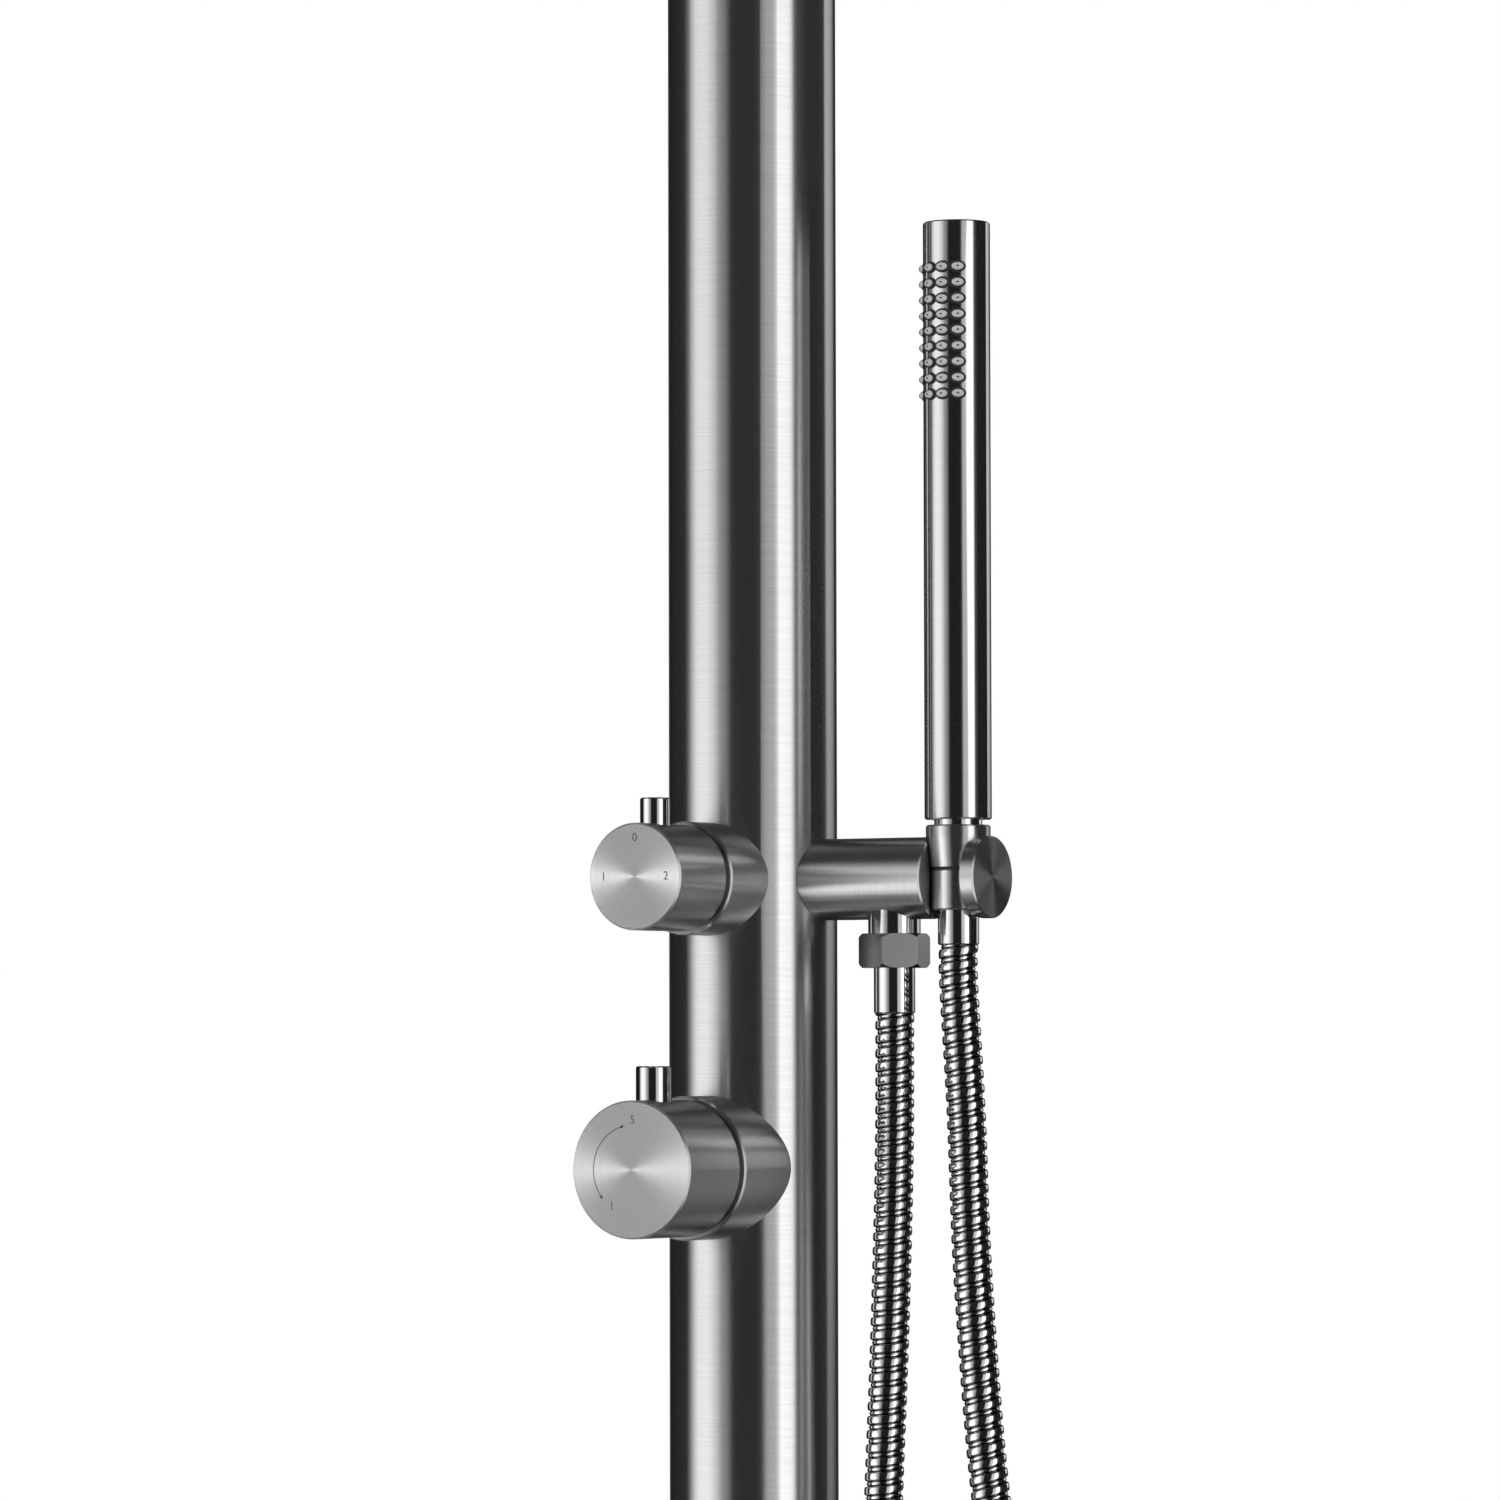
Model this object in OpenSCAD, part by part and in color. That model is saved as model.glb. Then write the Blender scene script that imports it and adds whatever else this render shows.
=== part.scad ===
// Free-standing outdoor shower post with a mixer, a diverter, a rain head and a hand shower.
// The origin is on the floor at the post's axis. The controls face -Y and the side arm +X.

/* [Post] */
// Outside diameter of the post
post_d = 60; // [58:1:66]
// Wall of the post tube
post_wall = 2; // [1.5:0.5:2.5]
// Height of the tube's upper end above the floor
post_top_z = 2150; // [2140:5:2300]
// Thickness of the top cap's visible disc
cap_t = 4; // [3:0.5:8]
// Depth of the top cap's plug inside the tube
cap_plug_h = 16; // [12:1:30]

/* [Base] */
// Diameter of the base plate
base_d = 240; // [230:5:300]
// Thickness of the base plate
base_t = 10; // [8:1:14]
// Diameter of the circle that the anchor holes lie on
anchor_pcd = 190; // [170:5:200]
// Diameter of an anchor hole
anchor_hole_d = 11; // [9:0.5:14]
// Number of anchor holes
anchor_count = 4; // [3:1:6]
// Opening in the plate for the supply pipes
supply_hole_d = 46.5; // [46:0.5:48]
// Height of the spigot that the post slides over
spigot_h = 80; // [50:5:120]
// Wall of the spigot
spigot_wall = 3; // [2:0.5:4]
// Height of the anchor cover above the plate
cover_h = 16; // [14:1:26]
// Sheet thickness of the anchor cover
cover_sheet = 1.5; // [1:0.25:2]
// Diameter of the grub screws that hold the post on its spigot
base_screw_d = 6; // [5:1:8]
// Number of those grub screws
base_screw_count = 3; // [3:1:4]

/* [Supply pipes] */
// Outside diameter of the water pipes
pipe_d = 15; // [12:0.5:15.5]
// Wall of the water pipes
pipe_wall = 1; // [0.7:0.1:1.5]
// Distance between the hot and the cold pipe's axes
pipe_spread = 21.4; // [21:0.1:22]
// Distance of the pipes behind the post's axis
pipe_setback = 6; // [5:0.5:6]
// Height of the inlet couplings' lower ends above the floor
inlet_z = 2; // [1:1:6]
// Outside diameter of the inlet couplings
inlet_d = 20.4; // [19:0.2:20.8]
// Thread bore of the inlet couplings
inlet_bore = 15; // [13:0.5:16]
// Depth of the inlet couplings' thread
inlet_depth = 12; // [8:0.5:16]

/* [Valve bodies] */
// Height of the diverter's and the side arm's axis above the floor
control_z = 1101.5; // [1000:0.5:1200]
// Distance between the diverter's and the mixer's axes
control_spacing = 101.5; // [95:0.5:140]
// Distance from the post's axis to the front of the valve sleeves
control_front = 47.2; // [46:0.2:60]
// Gap between a sleeve and its knob
knob_gap = 1.4; // [1:0.1:3]
// Diameter of the barrels inside the post
barrel_d = 46; // [45.5:0.5:48]
// Height of the mixer's barrel
mixer_barrel_h = 70; // [64:1:76]
// Height of the diverter's barrel
diverter_barrel_h = 60; // [56:1:70]
// Depth of the pipe sockets in the barrels
socket_depth = 12; // [8:0.5:13]
// Diameter of the waterways in the barrels
waterway_d = 8; // [6:0.5:9]

/* [Mixer] */
// Diameter of the mixer's sleeve
mixer_sleeve_d = 50.5; // [49.5:0.5:56]
// Diameter of the mixer body's neck
mixer_neck_d = 45; // [43:0.5:45]
// Diameter of the mixer's cartridge
mixer_cartridge_d = 35; // [32:0.5:36]
// Diameter of the mixer's spindle
mixer_spindle_d = 10; // [8:0.5:12]
// Diameter of the mixer's knob
mixer_knob_d = 48; // [44:0.5:54]
// Length of the mixer's knob
mixer_knob_l = 33.5; // [30:0.5:40]
// Diameter of the mixer's pin
mixer_pin_d = 12.5; // [9:0.5:14]
// Height of the mixer's pin above its knob
mixer_pin_h = 11.8; // [8:0.2:30]
// Distance from the mixer knob's face to its pin
mixer_pin_setback = 15; // [13:0.5:17]

/* [Diverter] */
// Diameter of the diverter's sleeve
diverter_sleeve_d = 39.8; // [39:0.2:48]
// Diameter of the diverter body's neck
diverter_neck_d = 35; // [33.5:0.5:35]
// Diameter of the diverter's cartridge
diverter_cartridge_d = 27; // [24:0.5:27.5]
// Diameter of the diverter's spindle
diverter_spindle_d = 8; // [6:0.5:9]
// Diameter of the diverter's knob
diverter_knob_d = 37.4; // [36:0.2:44]
// Length of the diverter's knob
diverter_knob_l = 30.9; // [29:0.1:38]
// Diameter of the diverter's pin
diverter_pin_d = 10.6; // [8:0.2:12]
// Height of the diverter's pin above its knob
diverter_pin_h = 9; // [6:0.5:26]
// Distance from the diverter knob's face to its pin
diverter_pin_setback = 13.6; // [12:0.2:15]

/* [Knobs] */
// Outer wall of the knobs
knob_wall = 3; // [2.5:0.5:4]
// Thickness of the knobs' faces
knob_face_t = 4; // [3:0.5:6]
// Chamfer of the knobs' and the sleeves' edges
knob_chamfer = 0.6; // [0.3:0.1:1]
// Diameter of the studs that hold the pins
stud_d = 6; // [5:0.5:7]
// Diameter of the knobs' grub screws
knob_screw_d = 5; // [4:0.5:6]

/* [Side arm] */
// Diameter of the side arm and of the overhead arm
arm_d = 28.8; // [27:0.1:32]
// Distance from the post's axis to the side arm's end
arm_reach = 97.7; // [96:0.1:130]
// Thickness of the disc at the side arm's end
arm_disc_t = 5.8; // [4:0.2:9]
// Width of the slot that the hose passes through
holder_slot_w = 16; // [15:0.5:18]
// Distance from the post's axis to the hose outlet
outlet_x = 58; // [57:0.5:60]
// Diameter of the hose outlet's stub
outlet_d = 18.5; // [17:0.5:19]
// Length of the stub that shows between the arm and the nut
outlet_gap = 4.9; // [3:0.1:8]
// Diameter of the nipples that carry the arms
nipple_d = 16; // [14:0.5:16]
// Bore of the nipples
nipple_bore = 10; // [8:0.5:11]

/* [Hose] */
// Outside diameter of the hose
hose_d = 13.8; // [13:0.2:14]
// Bore of the hose
hose_bore = 8.4; // [7:0.2:9]
// Number of ribs along the hose
hose_ribs = 180; // [120:1:200]
// Depth of the groove between two ribs
rib_depth = 0.8; // [0.4:0.1:1.2]
// Width across flats of the hose nut
nut_af = 22.1; // [22:0.1:27]
// Height of the hose nut
nut_h = 12.1; // [11:0.1:16]
// Length of the lower ferrule below the nut
lower_ferrule_l = 16.1; // [12:0.1:24]
// Diameter of the lower ferrule
lower_ferrule_d = 14.6; // [14:0.1:14.6]
// Length of the upper ferrule
upper_ferrule_l = 12.2; // [8:0.1:20]
// Diameter of the upper ferrule
upper_ferrule_d = 14.5; // [13.9:0.1:15]
// Diameter of the swivel sleeve under the cone
swivel_d = 19.2; // [18:0.2:19.4]
// Length of the swivel sleeve
swivel_l = 14.2; // [12:0.2:18]

/* [Hand shower] */
// Diameter of the cone nut's upper end
cone_d = 22.7; // [22:0.1:25]
// Diameter of the cone nut's lower end
cone_end_d = 19.8; // [19.8:0.1:21]
// Height of the cone nut's lower end above the arm's axis
cone_end_z = 3.7; // [2:0.1:5]
// Height of the cone nut
cone_h = 14.7; // [13:0.1:20]
// Height of the cone nut's straight collar
cone_collar_h = 4; // [3:0.5:5]
// Diameter of the hand shower's threaded neck
neck_d = 16.9; // [15:0.1:17.5]
// Gap between the cone nut and the hand shower's tube
neck_gap = 1.9; // [1:0.1:4]
// Diameter of the hand shower's tube
wand_d = 23.6; // [22.5:0.1:26]
// Wall of the hand shower's tube
wand_wall = 1.5; // [1:0.1:1.8]
// Length of the hand shower from its lower edge to its top
wand_l = 209.8; // [190:0.2:260]
// Rows of nozzles
nozzle_rows = 9; // [4:1:10]
// Columns of nozzles
nozzle_columns = 4; // [2:1:4]
// Distance between two rows
nozzle_pitch = 5.57; // [5:0.01:6]
// Angle between two columns
nozzle_step = 26.5; // [26:0.5:30]
// Turn of the nozzle field away from the controls' side
nozzle_turn = 6.5; // [0:0.5:20]
// Distance from the hand shower's top to the first row
nozzle_drop = 16.5; // [14:0.5:24]
// Diameter of a nozzle
nozzle_d = 4.1; // [3:0.1:4.5]
// Height of a nozzle above the tube
nozzle_rise = 1.5; // [0.6:0.1:2]

/* [Overhead shower] */
// Height of the overhead arm's axis above the floor
overhead_z = 2085; // [2060:5:2110]
// Distance from the post's axis to the rain head's axis
overhead_reach = 330; // [260:5:360]
// Wall of the overhead arm
overhead_wall = 2; // [1.5:0.5:3]
// Diameter of the ball that carries the rain head
ball_d = 24; // [22:0.5:25]
// Diameter of the rain head
head_d = 220; // [180:5:250]
// Thickness of the rain head
head_t = 9; // [8:0.5:14]
// Sheet thickness of the rain head
head_sheet = 2; // [1.5:0.25:2.5]
// Number of nozzle rings round the middle nozzle
head_rings = 4; // [2:1:4]
// Diameter of the rain head's nozzles
head_nozzle_d = 3.2; // [2.5:0.1:4]

/* [Hidden] */
$fn = 96;

// How far a cut runs past the face that it opens
overrun = 1;
// Radial gap of a shaft that turns in its hole
running_gap = 0.05;
// Gap between pieces that are screwed, soldered or pushed together
seat_gap = 0.1;
// Gap between curved faces of pieces that move past each other
free_gap = 0.3;

post_r = post_d / 2;
bore_r = post_r - post_wall;
post_z = base_t;
spigot_r = bore_r - 2 * seat_gap;
mixer_z = control_z - control_spacing;
diverter_z = control_z;
barrel_r = barrel_d / 2;
pipe_r = pipe_d / 2;
pipe_x = pipe_spread / 2;
steel = [0.72, 0.72, 0.71];
satin = [0.60, 0.60, 0.60];
brass = [0.78, 0.62, 0.32];
rubber = [0.12, 0.12, 0.12];
plastic = [0.86, 0.86, 0.84];
silicone = [0.75, 0.76, 0.76];

// A piece turned on a lathe: its profile is in radii and heights
module turned(profile) {
    rotate_extrude() polygon(profile);
}

// Places a turned piece with its axis along the controls, from the post's axis to the user
module toward_user(z) {
    translate([0, 0, z]) rotate([90, 0, 0]) children();
}

// Places a turned piece with its axis along the side arm, away from the post
module toward_arm(z) {
    translate([0, 0, z]) rotate([0, 90, 0]) children();
}

// Profile of a ring with a chamfer on each outer edge
function ring_profile(inner, outer, low, high, low_edge, high_edge) = [
    [inner, low],
    [outer - low_edge, low],
    [outer, low + low_edge],
    [outer, high - high_edge],
    [outer - high_edge, high],
    [inner, high]
];

// A straight round hole or bar between two heights
module bar(radius, low, high) {
    translate([0, 0, low]) cylinder(r = radius, h = high - low);
}

// Base: a plate, a spigot welded to it, grub screws and a spun cover
base_r = base_d / 2;
plate_edge = 1;
anchor_turn = 45;
// The grub screws sit under the anchor cover
base_screw_z = base_t + cover_h / 2;
cover_skirt_r = base_r + free_gap + cover_sheet;
cover_top_z = base_t + cover_h;
cover_rise = 4;
cover_collar_h = 5;
cover_collar_gap = 2;
cover_bore_r = post_r + cover_collar_gap;
cover_floor_gap = 1;
// Place on a round edge halfway through its turn, as a share of the edge's radius
edge_share = 0.29;
wall_share = 0.71;
// Direction of the post's back in plan
back_angle = 90;

module base_plate() {
    color(satin) difference() {
        turned(ring_profile(supply_hole_d / 2, base_r, 0, base_t, 0, plate_edge));
        for (i = [0:anchor_count - 1]) {
            rotate([0, 0, anchor_turn + i * 360 / anchor_count]) translate([anchor_pcd / 2, 0, 0])
                bar(anchor_hole_d / 2, -overrun, base_t + overrun);
        }
    }
}

// Places a child at each grub screw, with its axis pointing out of the post
module at_base_screws() {
    for (i = [0:base_screw_count - 1]) {
        translate([0, 0, base_screw_z]) rotate([0, 0, back_angle + i * 360 / base_screw_count])
            rotate([0, 90, 0]) children();
    }
}

module base_spigot() {
    color(satin) difference() {
        translate([0, 0, base_t])
            turned(ring_profile(spigot_r - spigot_wall, spigot_r, 0, spigot_h, 0, plate_edge));
        at_base_screws() bar(base_screw_d / 2 + seat_gap, 0, post_r);
    }
}

module base_screws() {
    color(satin) at_base_screws() difference() {
        bar(base_screw_d / 2, spigot_r - spigot_wall, post_r - post_wall / 4);
        translate([0, 0, post_r - post_wall - spigot_wall / 4])
            cylinder(d = base_screw_d / 2, h = post_wall + overrun, $fn = 6);
    }
}

module base_cover() {
    roof_r = cover_skirt_r - cover_rise;
    skirt_z = cover_top_z - cover_rise;
    edge_r = cover_skirt_r - cover_rise * edge_share;
    edge_z = cover_top_z - cover_rise * edge_share;
    color(steel) turned([
        [cover_skirt_r - cover_sheet, cover_floor_gap],
        [cover_skirt_r, cover_floor_gap],
        [cover_skirt_r, skirt_z],
        [edge_r, edge_z],
        [roof_r, cover_top_z],
        [cover_bore_r + cover_sheet, cover_top_z],
        [cover_bore_r + cover_sheet, cover_top_z + cover_collar_h],
        [cover_bore_r, cover_top_z + cover_collar_h],
        [cover_bore_r, cover_top_z - cover_sheet],
        [roof_r, cover_top_z - cover_sheet],
        [edge_r - cover_sheet * wall_share, edge_z - cover_sheet * wall_share],
        [cover_skirt_r - cover_sheet, skirt_z]
    ]);
}

module cover_seal() {
    color(rubber) turned(ring_profile(post_r + seat_gap, cover_bore_r - seat_gap,
        cover_top_z, cover_top_z + cover_collar_h, 0, 0));
}

// Water pipes inside the post
module pipe(x, low, high) {
    translate([x, pipe_setback, low]) difference() {
        cylinder(r = pipe_r, h = high - low);
        translate([0, 0, -overrun]) cylinder(r = pipe_r - pipe_wall, h = high - low + 2 * overrun);
    }
}

mixer_bottom_z = mixer_z - mixer_barrel_h / 2;
mixer_top_z = mixer_z + mixer_barrel_h / 2;
diverter_bottom_z = diverter_z - diverter_barrel_h / 2;
diverter_top_z = diverter_z + diverter_barrel_h / 2;
elbow_h = 50;
elbow_bottom_z = overhead_z - elbow_h / 2;

inlet_web = 4;
pipe_low_z = inlet_z + inlet_depth + inlet_web;

// Coupling with a thread bore below and a pipe socket above
module inlet(x) {
    color(brass) translate([x, pipe_setback, 0]) turned([
        [inlet_bore / 2, inlet_z],
        [inlet_d / 2 - plate_edge, inlet_z],
        [inlet_d / 2, inlet_z + plate_edge],
        [inlet_d / 2, pipe_low_z + socket_depth],
        [pipe_r + seat_gap, pipe_low_z + socket_depth],
        [pipe_r + seat_gap, pipe_low_z],
        [pipe_r - pipe_wall, pipe_low_z],
        [pipe_r - pipe_wall, inlet_z + inlet_depth],
        [inlet_bore / 2, inlet_z + inlet_depth]
    ]);
}

module hot_inlet() {
    inlet(-pipe_x);
}

module cold_inlet() {
    inlet(pipe_x);
}

module hot_supply_pipe() {
    color(brass) pipe(-pipe_x, pipe_low_z, mixer_bottom_z + socket_depth);
}

module cold_supply_pipe() {
    color(brass) pipe(pipe_x, pipe_low_z, mixer_bottom_z + socket_depth);
}

module link_pipe() {
    color(brass) pipe(0, mixer_top_z - socket_depth, diverter_bottom_z + socket_depth);
}

module riser_pipe() {
    color(brass) pipe(0, diverter_top_z - socket_depth, elbow_bottom_z + socket_depth);
}

// The post, with an opening for each valve neck and each nipple
nipple_hole_r = nipple_d / 2 + free_gap;

module post_tube() {
    color(steel) difference() {
        bar(post_r, post_z, post_top_z);
        bar(bore_r, post_z - overrun, post_top_z + overrun);
        toward_user(mixer_z) cylinder(r = mixer_neck_d / 2 + free_gap, h = post_d);
        toward_user(diverter_z) cylinder(r = diverter_neck_d / 2 + free_gap, h = post_d);
        toward_user(overhead_z) cylinder(r = nipple_hole_r, h = post_d);
        toward_arm(diverter_z) cylinder(r = nipple_hole_r, h = post_d);
        at_base_screws() bar(base_screw_d / 2 + seat_gap, 0, post_d);
    }
}

// Top cap with a plug and an O-ring in the plug's groove
cap_edge = 1;
ring_wire = 2.4;
plug_r = bore_r - 2 * seat_gap;
groove_z = cap_plug_h / 2;

module post_cap() {
    color(steel) translate([0, 0, post_top_z]) turned([
        [0, cap_t],
        [post_r - cap_edge, cap_t],
        [post_r, cap_t - cap_edge],
        [post_r, 0],
        [plug_r, 0],
        [plug_r, ring_wire / 2 - groove_z],
        [plug_r - ring_wire, ring_wire / 2 - groove_z],
        [plug_r - ring_wire, -ring_wire / 2 - groove_z],
        [plug_r, -ring_wire / 2 - groove_z],
        [plug_r, -cap_plug_h],
        [plug_r - 2 * ring_wire, -cap_plug_h],
        [plug_r - 2 * ring_wire, -cap_edge],
        [0, -cap_edge]
    ]);
}

module cap_seal() {
    wire_r = ring_wire / 2 - seat_gap / 2;
    color(rubber) translate([0, 0, post_top_z - groove_z]) rotate_extrude()
        translate([bore_r - wire_r - seat_gap / 2, 0]) circle(r = wire_r, $fn = 48);
}

// Valve: a barrel inside the post, a neck through its wall and a cartridge held by a nut
sleeve_lip_t = 2;
lip_gap = 1;
neck_front = control_front - sleeve_lip_t - lip_gap;
nut_seat_depth = 8;
nut_ring_t = 7;
nut_seat_wall = 2.2;
sleeve_wall_gap = 0.4;
mixer_pocket = 8;
diverter_pocket = 12;
cartridge_front = neck_front - nut_seat_depth;
spindle_depth = 12;
snout_share = 0.66;

module pipe_socket(x, z, up) {
    translate([x, pipe_setback, z]) mirror([0, 0, up ? 1 : 0])
        bar(pipe_r + seat_gap, -overrun, socket_depth);
}

// A vertical waterway from a barrel's end to its middle, then forward into the pocket
module waterway(x, z_from, z_to, pocket) {
    run = abs(z_to - z_from);
    translate([x, pipe_setback, min(z_from, z_to)]) cylinder(d = waterway_d, h = run);
    translate([x, pipe_setback, z_to]) rotate([90, 0, 0])
        cylinder(d = waterway_d, h = pipe_setback + pocket + overrun);
}

module valve_blank(z, barrel_h, neck_d, cartridge_d, pocket) {
    difference() {
        union() {
            translate([0, 0, z - barrel_h / 2]) turned([
                [0, 0],
                [barrel_r - plate_edge, 0],
                [barrel_r, plate_edge],
                [barrel_r, barrel_h - plate_edge],
                [barrel_r - plate_edge, barrel_h],
                [0, barrel_h]
            ]);
            toward_user(z) cylinder(d = neck_d, h = neck_front);
        }
        toward_user(z) bar(cartridge_d / 2 + seat_gap, pocket, neck_front + overrun);
        toward_user(z) bar(neck_d / 2 - nut_seat_wall, cartridge_front, neck_front + overrun);
    }
}

module mixer_body() {
    supply_z = mixer_z - waterway_d;
    mixed_z = mixer_z + waterway_d;
    color(brass) difference() {
        valve_blank(mixer_z, mixer_barrel_h, mixer_neck_d, mixer_cartridge_d, mixer_pocket);
        for (x = [-pipe_x, pipe_x]) {
            pipe_socket(x, mixer_bottom_z, false);
            waterway(x, mixer_bottom_z + socket_depth / 2, supply_z, mixer_pocket);
        }
        pipe_socket(0, mixer_top_z, true);
        waterway(0, mixer_top_z - socket_depth / 2, mixed_z, mixer_pocket);
    }
}

nipple_depth = 12;
nipple_r = nipple_d / 2;

module diverter_body() {
    mixed_z = diverter_z - waterway_d;
    riser_z = diverter_z + waterway_d;
    side_x = nipple_depth - overrun;
    color(brass) difference() {
        valve_blank(diverter_z, diverter_barrel_h, diverter_neck_d, diverter_cartridge_d,
            diverter_pocket);
        pipe_socket(0, diverter_bottom_z, false);
        waterway(0, diverter_bottom_z + socket_depth / 2, mixed_z, diverter_pocket);
        pipe_socket(0, diverter_top_z, true);
        waterway(0, diverter_top_z - socket_depth / 2, riser_z, diverter_pocket);
        toward_arm(diverter_z) bar(nipple_r + seat_gap, nipple_depth, barrel_d);
        toward_arm(diverter_z) bar(waterway_d / 2, side_x - waterway_d, nipple_depth + overrun);
        translate([side_x - waterway_d / 2, 0, 0]) toward_user(diverter_z)
            cylinder(d = waterway_d, h = diverter_pocket + overrun);
    }
}

// A sleeve is saddled on the post and closes round the cartridge nut with a lip
module valve_sleeve(z, sleeve_d, neck_d, opening_r) {
    inner_r = neck_d / 2 + sleeve_wall_gap;
    difference() {
        toward_user(z) turned([
            [inner_r, 0],
            [sleeve_d / 2, 0],
            [sleeve_d / 2, control_front - knob_chamfer],
            [sleeve_d / 2 - knob_chamfer, control_front],
            [opening_r, control_front],
            [opening_r, control_front - sleeve_lip_t],
            [inner_r, control_front - sleeve_lip_t]
        ]);
        translate([0, 0, z - sleeve_d]) cylinder(r = post_r + seat_gap, h = 2 * sleeve_d);
    }
}

module mixer_sleeve() {
    color(steel) valve_sleeve(mixer_z, mixer_sleeve_d, mixer_neck_d, mixer_cartridge_d / 2);
}

module diverter_sleeve() {
    color(steel)
        valve_sleeve(diverter_z, diverter_sleeve_d, diverter_neck_d, diverter_cartridge_d / 2);
}

module cartridge(z, cartridge_d, spindle_d, pocket) {
    snout_r = cartridge_d * snout_share / 2;
    color(plastic) toward_user(z) turned([
        [0, pocket],
        [cartridge_d / 2, pocket],
        [cartridge_d / 2, cartridge_front],
        [snout_r, cartridge_front],
        [snout_r, neck_front],
        [spindle_d / 2 + running_gap, neck_front],
        [spindle_d / 2 + running_gap, neck_front - spindle_depth - running_gap],
        [0, neck_front - spindle_depth - running_gap]
    ]);
}

module mixer_cartridge() {
    cartridge(mixer_z, mixer_cartridge_d, mixer_spindle_d, mixer_pocket);
}

module diverter_cartridge() {
    cartridge(diverter_z, diverter_cartridge_d, diverter_spindle_d, diverter_pocket);
}

module cartridge_nut(z, neck_d, cartridge_d) {
    color(brass) toward_user(z) turned(ring_profile(
        cartridge_d * snout_share / 2 + seat_gap, neck_d / 2 - nut_seat_wall - seat_gap,
        cartridge_front, cartridge_front + nut_ring_t, 0, knob_chamfer));
}

module mixer_cartridge_nut() {
    cartridge_nut(mixer_z, mixer_neck_d, mixer_cartridge_d);
}

module diverter_cartridge_nut() {
    cartridge_nut(diverter_z, diverter_neck_d, diverter_cartridge_d);
}

// Knobs: a turned cup with a hub, clamped on its spindle by a grub screw
knob_back = control_front + knob_gap;
hub_wall = 6;
hub_setback = 5;
hub_cover = 1;
spot_depth = 1.2;
spindle_flat = 1;
pin_edge = 0.5;
knob_screw_sink = 0.5;

function knob_hub_r(spindle_d) = spindle_d / 2 + hub_wall;

module knob(z, knob_d, knob_l, spindle_d, pin_d, pin_setback) {
    knob_r = knob_d / 2;
    hub_r = knob_hub_r(spindle_d);
    hole_r = spindle_d / 2 + seat_gap;
    pin_v = knob_back + knob_l - pin_setback;
    color(steel) difference() {
        translate([0, -knob_back, 0]) toward_user(z) turned([
            [0, knob_l],
            [0, knob_l - knob_face_t - hub_cover],
            [hole_r, knob_l - knob_face_t - hub_cover],
            [hole_r, hub_setback],
            [hub_r, hub_setback],
            [hub_r, knob_l - knob_face_t],
            [knob_r - knob_wall, knob_l - knob_face_t],
            [knob_r - knob_wall, 0],
            [knob_r - knob_chamfer, 0],
            [knob_r, knob_chamfer],
            [knob_r, knob_l - knob_chamfer],
            [knob_r - knob_chamfer, knob_l]
        ]);
        translate([0, -pin_v, z]) {
            bar(pin_d / 2 + seat_gap, knob_r - spot_depth, knob_d);
            bar(stud_d / 2 + seat_gap, 0, knob_d);
            bar(knob_screw_d / 2 + seat_gap, -knob_d, 0);
        }
    }
}

module knob_pin(z, knob_d, knob_l, spindle_d, pin_d, pin_h, pin_setback) {
    knob_r = knob_d / 2;
    top = knob_r + pin_h;
    color(steel) translate([0, pin_setback - knob_l - knob_back, z]) turned([
        [0, spindle_d / 2 + seat_gap],
        [stud_d / 2, spindle_d / 2 + seat_gap],
        [stud_d / 2, knob_r - spot_depth],
        [pin_d / 2, knob_r - spot_depth],
        [pin_d / 2, top - pin_edge],
        [pin_d / 2 - pin_edge, top],
        [0, top]
    ]);
}

module knob_screw(z, knob_l, spindle_d, pin_setback) {
    tip = spindle_d / 2 - spindle_flat + seat_gap;
    head = knob_hub_r(spindle_d) - knob_screw_sink;
    color(satin) translate([0, pin_setback - knob_l - knob_back, z]) mirror([0, 0, 1])
        difference() {
            bar(knob_screw_d / 2, tip, head);
            translate([0, 0, head - hub_wall / 2])
                cylinder(d = knob_screw_d / 2, h = hub_wall, $fn = 6);
        }
}

module spindle(z, knob_l, spindle_d) {
    front = knob_back + knob_l - knob_face_t - hub_cover;
    flat_start = knob_back + hub_setback;
    color(satin) difference() {
        toward_user(z) bar(spindle_d / 2, neck_front - spindle_depth, front);
        translate([-spindle_d / 2, -front - overrun, z - spindle_d])
            cube([spindle_d, front + overrun - flat_start, spindle_d / 2 + spindle_flat]);
    }
}

module mixer_knob() {
    knob(mixer_z, mixer_knob_d, mixer_knob_l, mixer_spindle_d, mixer_pin_d, mixer_pin_setback);
}

module mixer_pin() {
    knob_pin(mixer_z, mixer_knob_d, mixer_knob_l, mixer_spindle_d, mixer_pin_d, mixer_pin_h,
        mixer_pin_setback);
}

module mixer_knob_screw() {
    knob_screw(mixer_z, mixer_knob_l, mixer_spindle_d, mixer_pin_setback);
}

module mixer_spindle() {
    spindle(mixer_z, mixer_knob_l, mixer_spindle_d);
}

module diverter_knob() {
    knob(diverter_z, diverter_knob_d, diverter_knob_l, diverter_spindle_d, diverter_pin_d,
        diverter_pin_setback);
}

module diverter_pin() {
    knob_pin(diverter_z, diverter_knob_d, diverter_knob_l, diverter_spindle_d, diverter_pin_d,
        diverter_pin_h, diverter_pin_setback);
}

module diverter_knob_screw() {
    knob_screw(diverter_z, diverter_knob_l, diverter_spindle_d, diverter_pin_setback);
}

module diverter_spindle() {
    spindle(diverter_z, diverter_knob_l, diverter_spindle_d);
}

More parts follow.
